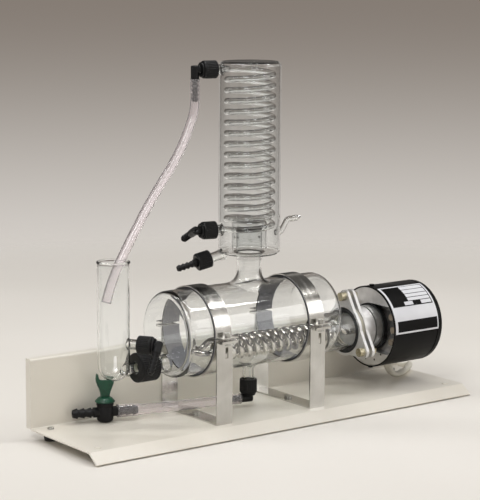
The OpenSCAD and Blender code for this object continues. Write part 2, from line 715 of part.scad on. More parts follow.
// Level tube: an open tube, its plain arm held in the large screw cap
level_x = x0 + level_along;
level_bottom = z0 + level_z;
overflow_z = level_bottom + overflow_rise;
overflow_stand = 11.6;
level_arm_r = 6.5;
level_rim_r = 1.6;
level_arm_end = feed_x - feed_cap_l / 3;
module at_overflow() {
    translate([level_x, axis_y, overflow_z]) rotate([0, 0, overflow_turn])
        translate([level_r + overflow_stand, 0, 0]) children();
}
module level_tube() {
    color([0.85, 0.92, 0.92, 0.4]) difference() {
        union() {
            translate([level_x, axis_y, level_bottom + level_r]) {
                sphere(r = level_r);
                cylinder(r = level_r, h = level_l - level_r);
                translate([0, 0, level_l - level_r - level_rim_r])
                    rotate_extrude() translate([level_r - level_wall / 2, 0]) circle(r = level_rim_r);
            }
            translate([level_x, axis_y, feed_z]) along_x()
                cylinder(r = level_arm_r, h = level_arm_end - level_x);
            at_overflow() threaded_arm(overflow_stand + level_wall);
        }
        translate([level_x, axis_y, level_bottom + level_r]) {
            sphere(r = level_r - level_wall);
            cylinder(r = level_r - level_wall, h = level_l);
        }
        translate([level_x, axis_y, feed_z]) along_x()
            cylinder(r = level_arm_r - arm_wall, h = level_arm_end - level_x + over);
        at_overflow() arm_bore(overflow_stand + level_wall + over);
    }
}
module feed_cap() {
    color([0.08, 0.08, 0.09]) translate([feed_x, axis_y, feed_z]) mirror([1, 0, 0])
        screw_cap(feed_cap_r, feed_cap_l, feed_end_t, feed_thread_r + play, level_arm_r + play);
}
module feed_seal() {
    color("salmon") translate([feed_x - feed_glass_end - feed_seal_t, axis_y, feed_z])
        along_x() ring(feed_r, level_arm_r, feed_seal_t);
}
module overflow_cap() at_overflow() small_cap();
overflow_tail_turn = -45;
module overflow_elbow() at_overflow() elbow(low_elbow_stand, overflow_tail_turn);

// Drain: the elbow under the boiler, the hose to the stop valve and the valve itself
drain_tail_turn = -11;
module at_drain() {
    translate([neck_x, axis_y, drain_z]) rotate([0, 0, drain_tail_turn]) rotate([0, 90, 0]) children();
}
module drain_cap() at_drain() small_cap();
module drain_elbow() at_drain() elbow(low_elbow_stand, 0);
module fitting_seals() {
    at_port(outlet_z) small_seal();
    at_port(inlet_z) small_seal();
    at_distillate() small_seal();
    at_overflow() small_seal();
    at_drain() small_seal();
}

// Hoses: clear tubing pushed over the ribbed tails, up to their shoulders
hose_r = 5.6;
hose_bore_r = rib_r / cos(15) + touch;
outlet_corner = [neck_x, axis_y, outlet_z]
    + (jacket_r + cap_stand + cap_l + elbow_stand) * [cos(port_turn), sin(port_turn), 0];
hose_dip = 46;
hose_lean = 9.5;
hose_from = outlet_corner - [0, 0, tail_l];
hose_to = [level_x - hose_lean, axis_y, level_bottom + level_l - hose_dip];
hose_shares = [
    [0.0246, 0.0561, 0.0694], [0.0743, 0.1255, 0.1366], [0.1393, 0.2296, 0.2083],
    [0.2158, 0.3337, 0.2778], [0.3038, 0.4378, 0.3472], [0.3995, 0.5072, 0.4167],
    [0.4951, 0.6113, 0.4861], [0.5869, 0.7154, 0.5579], [0.6749, 0.8195, 0.6319],
    [0.759, 0.889, 0.706], [0.8393, 0.9584, 0.7801], [0.9082, 0.9931, 0.8542],
    [0.9617, 0.9931, 0.9282], [1, 1, 1]];
cooling_points = concat(
    [for (s = [shoulder_l, (shoulder_l + tail_l) / 2]) outlet_corner - [0, 0, s]], [hose_from],
    [for (s = hose_shares) [for (k = [0:2]) hose_from[k] + s[k] * (hose_to[k] - hose_from[k])]]);
module cooling_hose() {
    color([0.8, 0.78, 0.84, 0.5]) swept_hose(cooling_points,
        [for (p = cooling_points) hose_r], [for (p = cooling_points) hose_bore_r], 12, [0, 1, 0]);
}

valve_place = [x0 + valve_along, y0 + valve_depth, z0];
valve_way = [cos(valve_turn), sin(valve_turn), 0];
valve_shoulder_l = 14;
drain_hose_r = 6.25;
drain_bore_r = 4.6;
stretched_r = 7.4;
stretched_bore_r = valve_rib_r / cos(15) + touch;
drain_corner = [neck_x, axis_y, drain_z - cap_l - low_elbow_stand];
drain_way = [-cos(drain_tail_turn), -sin(drain_tail_turn), 0];
valve_tip = valve_place + [0, 0, valve_z] + valve_tail_l * valve_way;
drain_tip = drain_corner + tail_l * drain_way;
slack = norm(drain_tip - valve_tip) / 3;
function bezier(a, b, c, d, s) = (1 - s) ^ 3 * a + 3 * (1 - s) ^ 2 * s * b + 3 * (1 - s) * s ^ 2 * c + s ^ 3 * d;
drain_points = concat(
    [for (s = [valve_shoulder_l, (valve_shoulder_l + valve_tail_l) / 2, valve_tail_l])
        valve_tip + (s - valve_tail_l) * valve_way],
    [for (i = [1:7]) bezier(valve_tip, valve_tip + slack * valve_way, drain_tip + slack * drain_way, drain_tip, i / 8)],
    [for (s = [tail_l, (shoulder_l + tail_l) / 2, shoulder_l]) drain_corner + s * drain_way]);
module drain_hose() {
    rows = len(drain_points);
    color([0.8, 0.78, 0.84, 0.5]) swept_hose(drain_points,
        [for (i = [0:rows - 1]) i < 3 ? stretched_r : drain_hose_r],
        [for (i = [0:rows - 1]) i < 3 ? stretched_bore_r : drain_bore_r], 12, [0, 0, 1]);
}

// Stop valve: a body with two tails, a plug that turns in it and the handle on the plug
valve_h = 23;
valve_corner_r = 4;
valve_neck_r = 6;
plug_r = 5;
plug_fit = 0.05;
plug_floor = 4;
valve_bore_r = 2;
collar_r = 11.5;
collar_top_r = 8;
collar_h = 5;
blade_w = 20;
blade_h = 20;
blade_t = 6;
blade_shares = [[-0.25, 0], [0.25, 0], [0.25, 0.25], [0.5, 0.85], [0.5, 1], [-0.2, 1], [-0.36, 1.1],
    [-0.42, 1.4], [-0.5, 1.4], [-0.55, 0.95], [-0.25, 0.3]];
module at_valve() {
    translate(valve_place) rotate([0, 0, valve_turn]) children();
}
module valve_body() {
    color([0.08, 0.08, 0.09]) at_valve() difference() {
        union() {
            translate([0, 0, play]) vessel(valve_r, valve_h / 2, valve_corner_r);
            translate([0, 0, valve_corner_r + play]) cylinder(r = valve_r, h = valve_h - valve_corner_r - play);
            translate([0, 0, valve_z]) for (side = [0, 180]) rotate([0, 0, side]) {
                along_x() cylinder(r = valve_neck_r, h = valve_shoulder_l);
                ribbed_tail(valve_rib_r, valve_shoulder_l, valve_tail_l, rib_count - 2);
            }
        }
        translate([0, 0, plug_floor]) cylinder(r = plug_r + plug_fit, h = valve_h);
        translate([-valve_tail_l - over, 0, valve_z]) along_x()
            cylinder(r = valve_bore_r, h = 2 * valve_tail_l + 2 * over);
    }
}
module valve_plug() {
    color("darkgreen") at_valve() difference() {
        translate([0, 0, plug_floor + touch]) cylinder(r = plug_r, h = valve_h + play - plug_floor - touch);
        translate([-plug_r - over, 0, valve_z]) along_x() cylinder(r = valve_bore_r, h = 2 * plug_r + 2 * over);
    }
}
module valve_handle() {
    color("darkgreen") at_valve() translate([0, 0, valve_h + play]) {
        cylinder(r1 = collar_r, r2 = collar_top_r, h = collar_h);
        translate([0, blade_t / 2, collar_h]) rotate([90, 0, 0]) linear_extrude(blade_t)
            polygon([for (p = blade_shares) [p[0] * blade_w, p[1] * blade_h]]);
    }
}

// Heater: everything stands on its axis, told from the end of the boiler's neck
insert_r = 28.2;
insert_t = 3.8;
gasket_t = 2;
gasket_r = 29;
gasket_x = bead_x + bead_w;
plate_x = gasket_x + gasket_t;
head_r = 26.5;
head_l = 16.6;
head_x = plate_x + flange_t;
head_seal_r = 24;
head_seal_t = 1.9;
clamp_l = 9.5;
clamp_x = head_x + head_l + head_seal_t;
hub_r = 19;
cover_x = head_x + cover_stand;
bulkhead_in = 13.7;
bulkhead_x = cover_x + bulkhead_in;
bolt_r = 3;
bolt_head_r = 5.2;
bolt_head_h = 6.5;
bolt_nut_h = 5;
ring_w = 3.2;
bolt_angles = [90, 210, 330];

// carries a piece to the heater's axis: local Z runs along +X, local Y runs up
module on_heater(x) {
    translate([x, axis_y, heater_z]) rotate([90, 0, 90]) children();
}
module flange_shape(t, bore) {
    difference() {
        union() {
            linear_extrude(t) polygon([for (a = bolt_angles)
                each arc(bolt_circle_r * [cos(a), sin(a)], flange_corner_r, a - 60, a + 60)]);
            cylinder(r = insert_r + touch + ring_w, h = t);
        }
        if (bore > 0) translate([0, 0, -over]) cylinder(r = bore, h = t + 2 * over);
        for (a = bolt_angles) rotate([0, 0, a]) translate([bolt_circle_r, 0, -over])
            cylinder(r = bolt_r + touch, h = t + 2 * over);
    }
}
module flange_plate() {
    color("silver") on_heater(neck_end_x) flange_shape(flange_t, insert_r + touch);
}
module flange_insert() {
    color("black") on_heater(bead_x - touch - insert_t) ring(insert_r, heater_neck_r + touch, insert_t);
}
module heater_gasket() {
    color("dimgray") on_heater(gasket_x) ring(gasket_r, heater_neck_r - boiler_wall, gasket_t);
}
element_end = head_x + head_l / 2;
module heater_flange() {
    color("silver") on_heater(plate_x) difference() {
        union() {
            flange_shape(flange_t, 0);
            cylinder(r = head_r, h = flange_t + head_l);
        }
        for (side = [-1, 1]) translate([side * element_r, 0, -over])
            cylinder(r = element_d / 2 + touch, h = element_end - plate_x + over + touch);
    }
}
module head_seal() {
    color("black") on_heater(head_x + head_l) cylinder(r = head_seal_r, h = head_seal_t);
}
module clamp_ring() {
    color("silver") on_heater(clamp_x) union() {
        cylinder(r = head_r, h = clamp_l);
        cylinder(r = hub_r, h = bulkhead_x - clamp_x);
    }
}
module flange_bolts() {
    color("silver") on_heater(neck_end_x) for (a = bolt_angles)
        rotate([0, 0, a]) translate([bolt_circle_r, 0, 0]) mirror([0, 0, 1])
            pan_screw(bolt_r, bolt_head_r, bolt_head_h, head_x - neck_end_x + bolt_nut_h + over);
}
module flange_nuts() {
    color("silver") on_heater(head_x) for (a = bolt_angles)
        rotate([0, 0, a]) translate([bolt_circle_r, 0, 0]) difference() {
            cylinder(r = bolt_head_r, h = bolt_nut_h, $fn = 6);
            translate([0, 0, -over]) cylinder(r = bolt_r, h = bolt_nut_h + 2 * over);
        }
}

// Heating element: two strands wound as one hairpin, each eased to straight at both ends
element_rings = 14;
element_ease_share = 0.08;
element_far = boiler_x + element_tip + element_d / 2 + element_r;
element_near = neck_end_x - element_d / 2;
function eased(s) = let(e = element_ease_share, v = 1 / (1 - e))
    s < e ? v * s ^ 2 / (2 * e) : s > 1 - e ? 1 - v * (1 - s) ^ 2 / (2 * e) : v * (s - e / 2);
function on_element(x, a) = [x, axis_y + element_r * cos(a), heater_z + element_r * sin(a)];
element_strand = [for (i = [0:element_turns * element_rings]) let(s = i / (element_turns * element_rings))
    [element_near + s * (element_far - element_near), -360 * element_turns * eased(s)]];
element_points = concat(
    [on_element(element_end, 0)],
    [for (p = element_strand) on_element(p[0], p[1])],
    [for (j = [1:7]) [element_far - element_r * sin(180 * j / 8), axis_y, heater_z]
        + element_r * cos(180 * j / 8) * [0, cos(360 * element_turns), sin(-360 * element_turns)]],
    [for (p = flip(element_strand)) on_element(p[0], p[1] + 180)],
    [on_element(element_end, 180)]);
echo(heater_coil_gap = least_gap(element_points, element_rings / 2) - element_d);
module heater_coil() {
    color("silver") swept(element_points, element_d / 2, 6, [0, 0, 1]);
}

// Cover over the terminals: a drum, open towards the boiler, with its chassis and its blank plate
cover_corner_r = 5;
groove_w = 1.6;
groove_d = 0.7;
groove_back = 9;
cover_play = 0.3;
chassis_t = 1.2;
chassis_r = cover_r - cover_wall - cover_play;
window_h = 30;
chassis_in = 0.5;
tab_w = 10;
tab_l = 7;
tab_h = 5;
cover_screw_r = 1.6;
cover_screw_head_r = 3;
cover_screw_head_h = 2;
cover_screw_in = 5.5;
cover_screw_x = cover_x + cover_screw_in;
lead_in = 33.2;
lead_x = cover_x + lead_in;
lead_turn = 18;
lead_dive = 65;
relief_r = 5.5;
lead_way = [cos(lead_dive) * cos(lead_turn), cos(lead_dive) * sin(lead_turn), -sin(lead_dive)];
lead_exit = [lead_x, axis_y, heater_z - cover_r];
relief_in = 9;

module lead_cut(r) {
    translate(lead_exit - relief_in * lead_way) rotate([0, 90 + lead_dive, lead_turn])
        cylinder(r = r, h = 2 * relief_in);
}
module heater_cover() {
    color([0.08, 0.08, 0.09]) difference() {
        on_heater(cover_x) rotate_extrude() polygon(concat(
            [[cover_r - cover_wall, 0], [cover_r, 0], [cover_r, cover_l - groove_back - groove_w],
                [cover_r - groove_d, cover_l - groove_back - groove_w], [cover_r - groove_d, cover_l - groove_back],
                [cover_r, cover_l - groove_back]],
            arc([cover_r - cover_corner_r, cover_l - cover_corner_r], cover_corner_r, 0, 90),
            [[0, cover_l], [0, cover_l - cover_wall]],
            arc([cover_r - cover_corner_r, cover_l - cover_corner_r], cover_corner_r - cover_wall, 90, 0)));
        for (side = [-1, 1]) translate([cover_screw_x, axis_y, heater_z + side * cover_r])
            translate([0, 0, -tab_h]) cylinder(r = cover_screw_r + touch, h = 2 * tab_h);
        lead_cut(relief_r + touch);
    }
}
module terminal_chassis() {
    color("antiquewhite") on_heater(bulkhead_x) {
        cylinder(r = chassis_r, h = chassis_t);
        for (side = [0, 1]) mirror([0, side, 0]) {
            shelf_w = 2 * sqrt(chassis_r ^ 2 - (window_h + chassis_t) ^ 2) - 2 * chassis_t;
            translate([-shelf_w / 2, window_h, cover_x + chassis_in - bulkhead_x])
                cube([shelf_w, chassis_t, bulkhead_x - cover_x - chassis_in]);
            difference() {
                intersection() {
                    translate([0, 0, cover_x + chassis_in - bulkhead_x]) union() {
                        cylinder(r = chassis_r, h = chassis_t);
                        translate([-tab_w / 2, chassis_r - tab_h, 0]) cube([tab_w, tab_h + over, tab_l]);
                    }
                    translate([-cover_r, window_h, cover_x - bulkhead_x]) cube([2 * cover_r, cover_r, cover_l]);
                    translate([0, 0, cover_x - bulkhead_x]) cylinder(r = chassis_r, h = cover_l);
                }
                translate([0, chassis_r - tab_h - over, cover_screw_x - bulkhead_x]) rotate([-90, 0, 0])
                    cylinder(r = cover_screw_r, h = 2 * tab_h);
            }
        }
    }
}
module cover_screws() {
    color("silver") for (side = [-1, 1]) translate([cover_screw_x, axis_y, heater_z]) rotate([90 - 90 * side, 0, 0])
        translate([0, 0, cover_r]) pan_screw(cover_screw_r, cover_screw_head_r, cover_screw_head_h, tab_h - over);
}
cutout_r = 29;
cutout_t = 6;
module cutout() {
    color([0.1, 0.1, 0.1]) on_heater(clamp_x + clamp_l) ring(cutout_r, hub_r, cutout_t);
}
terminal_r = 4;
terminal_at = 37;
module terminals() {
    color("tan") on_heater(bulkhead_x) for (a = [-25, 0, 25, 155, 180, 205]) rotate([0, 0, a])
        translate([terminal_at, 0, -cutout_t]) cylinder(r = terminal_r, h = cutout_t);
}
plate_from = 20;
plate_to = 92;
rating_t = 0.5;
rating_in = 2.7;
rating_l = 66;
module rating_plate() {
    color("gainsboro") on_heater(cover_x + rating_in) rotate([0, 0, 90 + plate_from])
        rotate_extrude(angle = plate_to - plate_from) translate([cover_r + touch, 0]) square([rating_t, rating_l]);
}

// Mains lead: a tapered relief out of the cover, the lead over the plate and the table, and its coil
bend = 30;
relief_l = 26;
relief_tip_r = 4.4;
rest_gap = 0.2;
flat_z = z0 + lead_d / 2 + rest_gap;
dive_h = bend * (1 - cos(lead_dive));
straight_l = (lead_exit[2] - flat_z - dive_h) / sin(lead_dive);
// the lead's place at a distance along it from the cover, down to where it lies flat
function lead_at(s) = s < straight_l ? lead_exit + s * lead_way
    : let(a = lead_dive - (s - straight_l) / bend * 180 / PI, p = lead_exit + straight_l * lead_way,
        run = bend * (sin(lead_dive) - sin(a)))
        p + [run * cos(lead_turn), run * sin(lead_turn), -bend * (cos(a) - cos(lead_dive))];
flat_l = straight_l + bend * lead_dive * PI / 180;
relief_steps = 6;
relief_start = -4;
module cable_relief() {
    color("antiquewhite") {
        r = [for (i = [0:relief_steps]) relief_r + (relief_tip_r - relief_r) * i / relief_steps];
        p = [for (i = [0:relief_steps]) lead_at(relief_start + (relief_l - relief_start) * i / relief_steps)];
        t = tangents(p);
        m = normals(t, [lead_way[1], -lead_way[0], 0]);
        polyhedron(
            points = [for (k = [0:relief_steps]) each ring_points(p[k], t[k], m[k], r[k], 12)],
            faces = concat(skins(relief_steps + 1, 12), [for (k = [1:10]) [0, k, k + 1]],
                [for (k = [1:10]) [12 * relief_steps, 12 * relief_steps + k + 1, 12 * relief_steps + k]]));
    }
}
// the coil lies behind the tray: three turns in, a climb, and three turns out on top
lead_coil_x = 205;
lead_coil_y = 170;
coil_out_r = 49.2;
tie_t = 0.8;
end_gap = 0.3;
coil_z = lead_d / 2 + tie_t + rest_gap;
lead_points = concat(
    [for (i = [0:3]) lead_at(relief_l + end_gap + (flat_l - relief_l - end_gap) * i / 3)],
    [[248, 22, 17], [263, 31.5, 17], [278, 43.5, 17], [289, 55.5, 15], [297, 69, 10.5], [301.5, 83, 6.5],
        [301, 97, 5], [294.5, 110, 5], [284, 121, 5], [273, 132, 5], [263.5, 142, 5], [256, 153, 4.8]],
    [[lead_coil_x + coil_out_r, lead_coil_y - lead_d - end_gap, coil_z]]);
coil_layer_turns = 3;
lead_rings = 24;
lead_pitch = lead_d + 0.6;
coil_in_r = coil_out_r - coil_layer_turns * lead_pitch;
turn_l = 360 * coil_layer_turns;
function climb(a) = min(1, max(0, (a - turn_l + 90) / 180));
function spiral_r(a) = coil_in_r + lead_pitch * abs(a - turn_l) / 360;
cable_points = concat(
    [[coil_out_r, -lead_d, 0]],
    [for (i = [0:2 * coil_layer_turns * lead_rings]) let(a = 360 * i / lead_rings)
        [spiral_r(a) * cos(a), spiral_r(a) * sin(a), lead_pitch * climb(a)]],
    [[coil_out_r, lead_d, lead_pitch]]);
echo(cable_coil_gap = least_gap(cable_points, lead_rings / 2) - lead_d);
plug_t = 25;
tail_points = [[lead_coil_x + coil_out_r, lead_coil_y + lead_d + end_gap, coil_z + lead_pitch],
    [254.5, 184, 13], [256.5, 191, 12.5], [260.5, 197.5, 12.5], [266, 203, 12.5], [272, 208, 12.5]];
module mains_cable() {
    color("antiquewhite") {
        swept(lead_points, lead_d / 2, 10, [0, 0, 1]);
        swept(tail_points, lead_d / 2, 10, [0, 0, 1]);
    }
}
module cable_coil() {
    color("antiquewhite") translate([lead_coil_x, lead_coil_y, coil_z]) swept(cable_points, lead_d / 2, 6, [0, 0, 1]);
}
tie_w = 5;
module cable_tie() {
    inner = [coil_out_r - coil_in_r - lead_pitch + lead_d + 2 * rest_gap, lead_pitch + lead_d + 2 * rest_gap];
    color("black") translate([lead_coil_x - coil_in_r - (coil_out_r - coil_in_r) / 2,
        lead_coil_y, coil_z + lead_pitch / 2]) difference() {
        cube([inner[0] + 2 * tie_t, tie_w, inner[1] + 2 * tie_t], center = true);
        cube([inner[0], tie_w + 2 * over, inner[1]], center = true);
    }
}
// a mains plug with three flat pins, lying on its back beside the coil
plug_w = 46;
plug_l = 48;
plug_neck_w = 16;
plug_shoulder = 16;
plug_heading = atan2(5, 6);
pin_t = 4;
pin_w = 6.4;
pin_h = 17.7;
pin_spacing = 22.2;
earth_w = 4;
earth_t = 8;
earth_h = 22.7;
module at_plug() {
    translate([tail_points[5][0], tail_points[5][1], 0]) rotate([0, 0, plug_heading]) children();
}
module plug_body() {
    color("white") at_plug() linear_extrude(plug_t) polygon([[0, -plug_neck_w / 2], [plug_shoulder, -plug_w / 2],
        [plug_l, -plug_w / 2], [plug_l, plug_w / 2], [plug_shoulder, plug_w / 2], [0, plug_neck_w / 2]]);
}
module plug_pins() {
    color("gold") at_plug() {
        for (side = [-1, 1]) translate([plug_shoulder - pin_t / 2, side * pin_spacing / 2 - pin_w / 2, plug_t])
            cube([pin_t, pin_w, pin_h]);
        translate([plug_shoulder + pin_spacing - earth_t / 2, -earth_w / 2, plug_t]) cube([earth_t, earth_w, earth_h]);
    }
}

base_tray();
rubber_feet();
foot_screws();
left_bracket();
right_bracket();
bracket_screws();
left_lower_strap();
right_lower_strap();
left_upper_strap();
right_upper_strap();
strap_linings();
strap_screws();
strap_nuts();
boiler_glass();
condenser_jacket();
vapour_riser();
splash_cap();
condenser_coil();
outlet_cap();
outlet_elbow();
inlet_cap();
inlet_elbow();
distillate_cap();
distillate_connector();
fitting_seals();
level_tube();
feed_cap();
feed_seal();
overflow_cap();
overflow_elbow();
cooling_hose();
drain_cap();
drain_elbow();
drain_hose();
valve_body();
valve_plug();
valve_handle();
heater_coil();
flange_plate();
flange_insert();
heater_gasket();
heater_flange();
head_seal();
clamp_ring();
flange_bolts();
flange_nuts();
heater_cover();
terminal_chassis();
terminals();
cutout();
cover_screws();
rating_plate();
cable_relief();
mains_cable();
cable_coil();
cable_tie();
plug_body();
plug_pins();
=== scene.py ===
import bpy, math
import numpy as np
from mathutils import Matrix, Vector


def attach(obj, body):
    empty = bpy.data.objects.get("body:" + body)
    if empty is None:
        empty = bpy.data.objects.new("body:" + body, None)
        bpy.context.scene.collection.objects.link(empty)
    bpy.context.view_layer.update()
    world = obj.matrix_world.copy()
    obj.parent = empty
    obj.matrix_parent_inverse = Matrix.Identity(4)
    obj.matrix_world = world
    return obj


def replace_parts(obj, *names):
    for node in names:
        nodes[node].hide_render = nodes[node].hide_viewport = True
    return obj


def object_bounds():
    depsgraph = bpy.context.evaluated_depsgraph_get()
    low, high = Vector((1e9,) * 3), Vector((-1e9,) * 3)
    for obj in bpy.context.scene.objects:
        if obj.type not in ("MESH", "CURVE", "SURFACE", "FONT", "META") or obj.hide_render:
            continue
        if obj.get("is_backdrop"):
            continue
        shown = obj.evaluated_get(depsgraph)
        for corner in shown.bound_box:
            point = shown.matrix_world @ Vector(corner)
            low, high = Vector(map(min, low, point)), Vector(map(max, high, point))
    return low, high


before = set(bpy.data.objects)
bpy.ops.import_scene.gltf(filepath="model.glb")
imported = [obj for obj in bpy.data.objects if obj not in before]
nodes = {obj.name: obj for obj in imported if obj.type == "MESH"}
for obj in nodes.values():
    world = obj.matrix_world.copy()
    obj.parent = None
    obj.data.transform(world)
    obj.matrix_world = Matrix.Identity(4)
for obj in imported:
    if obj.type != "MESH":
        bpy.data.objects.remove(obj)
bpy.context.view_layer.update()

# Camera.
# The photograph's camera, fitted to the tray's corners, feet and keyhole: it stands low, in front
# of the level tube's end. The focal length is worked out from the picture's height in pixels.
YAW, PITCH, ROLL = math.radians(37.08), math.radians(9.25), math.radians(0.32)
EYE = (-1.3023, -1.6836, 0.5461)
SENSOR_H, PHOTO_H_PX, FOCAL_PX = 36, 500, 1846.4
cam = bpy.data.objects.new("camera", bpy.data.cameras.new("camera"))
bpy.context.collection.objects.link(cam)
forward = Vector((math.sin(YAW) * math.cos(PITCH), math.cos(YAW) * math.cos(PITCH), -math.sin(PITCH)))
right = forward.cross(Vector((0, 0, 1))).normalized()
up = right.cross(forward)
facing = Matrix((right, up, -forward)).transposed().to_4x4()
cam.matrix_world = Matrix.Translation(EYE) @ facing @ Matrix.Rotation(ROLL, 4, "Z")
cam.data.sensor_fit = "VERTICAL"
cam.data.sensor_height = SENSOR_H
cam.data.lens = FOCAL_PX * SENSOR_H / PHOTO_H_PX
cam.data.clip_start, cam.data.clip_end = 0.01, 50
bpy.context.scene.camera = cam


# Mains lead.
# A cream PVC lead of 7.5 mm with a ribbed bend protector. It leaves the drum, drops over the tray's
# end and runs round behind it, where the unseen length lies in a coil of two layers with its tie.
def to_linear(h):
    """The linear colour of an sRGB hex value."""
    c = [int(h[i:i + 2], 16) / 255 for i in (1, 3, 5)]
    return tuple(v / 12.92 if v < 0.04045 else ((v + 0.055) / 1.055) ** 2.4 for v in c) + (1,)


def add(tree, kind, inputs=None, **settings):
    """A new node of that kind; inputs maps sockets to constants or to other nodes' outputs."""
    n = tree.nodes.new(kind)
    for k, v in settings.items():
        setattr(n, k, v)
    for k, v in (inputs or {}).items():
        if isinstance(v, bpy.types.NodeSocket):
            tree.links.new(v, n.inputs[k])
        else:
            n.inputs[k].default_value = v
    return n


def material(name, colour, rough, metal=0.0, **sockets):
    """A principled material; returns it with its tree and its shader."""
    m = bpy.data.materials.new(name)
    m.use_nodes = True
    b = m.node_tree.nodes["Principled BSDF"]
    b.inputs["Base Color"].default_value = to_linear(colour)
    b.inputs["Roughness"].default_value = rough
    b.inputs["Metallic"].default_value = metal
    for k, v in sockets.items():
        b.inputs[k.replace("_", " ")].default_value = v
    return m, m.node_tree, b


def noise(tree, scale_mm, detail=3.0, stretch=(1, 1, 1)):
    """Noise in the object's own space whose features are about scale_mm across."""
    c = add(tree, "ShaderNodeTexCoord").outputs["Object"]
    p = add(tree, "ShaderNodeMapping", {"Vector": c, "Scale": stretch}).outputs[0]
    return add(tree, "ShaderNodeTexNoise", {"Vector": p, "Scale": 1000 / scale_mm, "Detail": detail}).outputs[0]


# noise stays mostly between these two levels
NOISE_LOW, NOISE_HIGH = 0.3, 0.7


def vary(tree, shader, socket, source, low, high):
    """Runs a socket between two values with a noise."""
    r = add(tree, "ShaderNodeMapRange", {"Value": source, "From Min": NOISE_LOW, "From Max": NOISE_HIGH,
                                         "To Min": low, "To Max": high})
    tree.links.new(r.outputs[0], shader.inputs[socket])


def bump(tree, shader, source, depth_mm):
    """Bump of a real depth in millimetres."""
    b = add(tree, "ShaderNodeBump", {"Height": source, "Distance": depth_mm / 1000, "Strength": 1.0})
    tree.links.new(b.outputs[0], shader.inputs["Normal"])


def dress(mat, *names):
    """Gives CAD nodes their material."""
    for name in names:
        nodes[name].data.materials.clear()
        nodes[name].data.materials.append(mat)


def piece(name, verts, faces, mat, body, smooth=True, slot=None):
    """A mesh object in the row frame that rides on a body."""
    name = name.replace(" ", "-")
    me = bpy.data.meshes.new(name)
    me.from_pydata(np.asarray(verts).tolist(), [], faces)
    me.validate()
    if smooth:
        me.polygons.foreach_set("use_smooth", [True] * len(me.polygons))
    me.materials.append(mat)
    o = bpy.data.objects.new(name, me)
    bpy.context.collection.objects.link(o)
    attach(o, body)
    return o


def quads(rows, cols, close_u=False, close_v=True, base=0):
    """Faces of a grid of rows by cols points, from each point to its neighbours in the row and in the
    next row; u runs over the rows and v along a row."""
    i, j = np.meshgrid(np.arange(rows if close_u else rows - 1), np.arange(cols if close_v else cols - 1),
                       indexing="ij")
    row, after, left, on = i * cols, (i + 1) % rows * cols, j, (j + 1) % cols
    return (base + np.stack([row + left, row + on, after + on, after + left], 2)).reshape(-1, 4).tolist()


def smooth_path(points, step):
    """The route resampled about step metres apart on one curve through all its points: between two of
    them it is the cubic whose slope at each is half the chord between its neighbours."""
    p = np.array(points, float)
    keep = np.r_[True, np.linalg.norm(np.diff(p, axis=0), axis=1) > 1e-5]
    p = p[keep]
    e = np.vstack([2 * p[0] - p[1], p, 2 * p[-1] - p[-2]])
    out = []
    for i in range(1, len(e) - 2):
        a, b, c, d = e[i - 1:i + 3]
        n = max(2, int(np.linalg.norm(c - b) / step))
        t = (np.arange(n) / n)[:, None]
        out.append(0.5 * (2 * b + (c - a) * t + (2 * a - 5 * b + 4 * c - d) * t ** 2
                          + (3 * b - a - 3 * c + d) * t ** 3))
    return np.vstack(out + [p[-1:]])


def rings_along(p, radii, sides):
    """Rings round a path: each point is the path's, plus the radius times the cosine and the sine of an
    angle along two normals that are carried from ring to ring without twist."""
    t = np.gradient(p, axis=0)
    t /= np.linalg.norm(t, axis=1)[:, None]
    n = np.cross(t[0], [0.3, 0.5, 0.81])
    a = np.linspace(0, 2 * np.pi, sides, endpoint=False)
    r = np.broadcast_to(radii, (len(p),))
    out = []
    for i in range(len(p)):
        n = n - t[i] * np.dot(n, t[i])
        n /= np.linalg.norm(n)
        b = np.cross(t[i], n)
        out.append(p[i] + r[i] * (np.outer(np.cos(a), n) + np.outer(np.sin(a), b)))
    return np.array(out).reshape(-1, 3)


def capped(rows, sides):
    """Faces of a grid closed round each row, with a flat face at both ends."""
    return quads(rows, sides) + [tuple(range(sides))[::-1], tuple(range((rows - 1) * sides, rows * sides))]


def tube(p, radii, sides=16, bore=None):
    """Rings along a path with closed ends; with a bore, a second skin inside and open ends."""
    p = np.asarray(p)
    v = rings_along(p, radii, sides)
    k = len(p)
    if bore is None:
        return v, capped(k, sides)
    w = rings_along(p, bore, sides)
    j = np.arange(sides)
    m, end, skin = (j + 1) % sides, (k - 1) * sides, k * sides
    rims = np.stack([np.stack([j + skin, m + skin, m, j], 1),
                     np.stack([end + j, end + m, end + m + skin, end + j + skin], 1)], 1)
    f = quads(k, sides) + [q[::-1] for q in quads(k, sides, base=skin)] + rims.reshape(-1, 4).tolist()
    return np.vstack([v, w]), f


# diameter, and the route from the exit in metres: its own slack, then the coil, then the tail to the plug
LEAD_D, LEAD_SIDES, RELIEF_SIDES = 0.0075, 18, 32
LEAD = [[.2204, .0116, .0208], [.2247, .013, .0187], [.2278, .014, .0177], [.231, .015, .0171], [.2343, .0161, .017],
        [.248, .022, .017], [.263, .0315, .017], [.278, .0435, .017], [.289, .0555, .015], [.297, .069, .0105],
        [.3015, .083, .0065], [.301, .097, .005], [.2945, .11, .005], [.284, .121, .005], [.273, .132, .005],
        [.2635, .142, .005], [.256, .153, .00478]]
TAIL = [[.2545, .184, .013], [.2565, .191, .0125], [.2605, .1975, .0125], [.266, .203, .0125], [.272, .208, .0125]]
# soft PVC, extruded: an even satin with a fine grain, which is drawn coarser than real so that it shows
cream, t, b = material("PVC sheath, cream", "#d9d5c8", 0.42, Specular_IOR_Level=0.45)
vary(t, b, "Roughness", noise(t, 9), 0.34, 0.52)
bump(t, b, noise(t, 0.8, 2), 0.03)
dress(cream, "mains_cable", "cable_coil", "cable_relief")

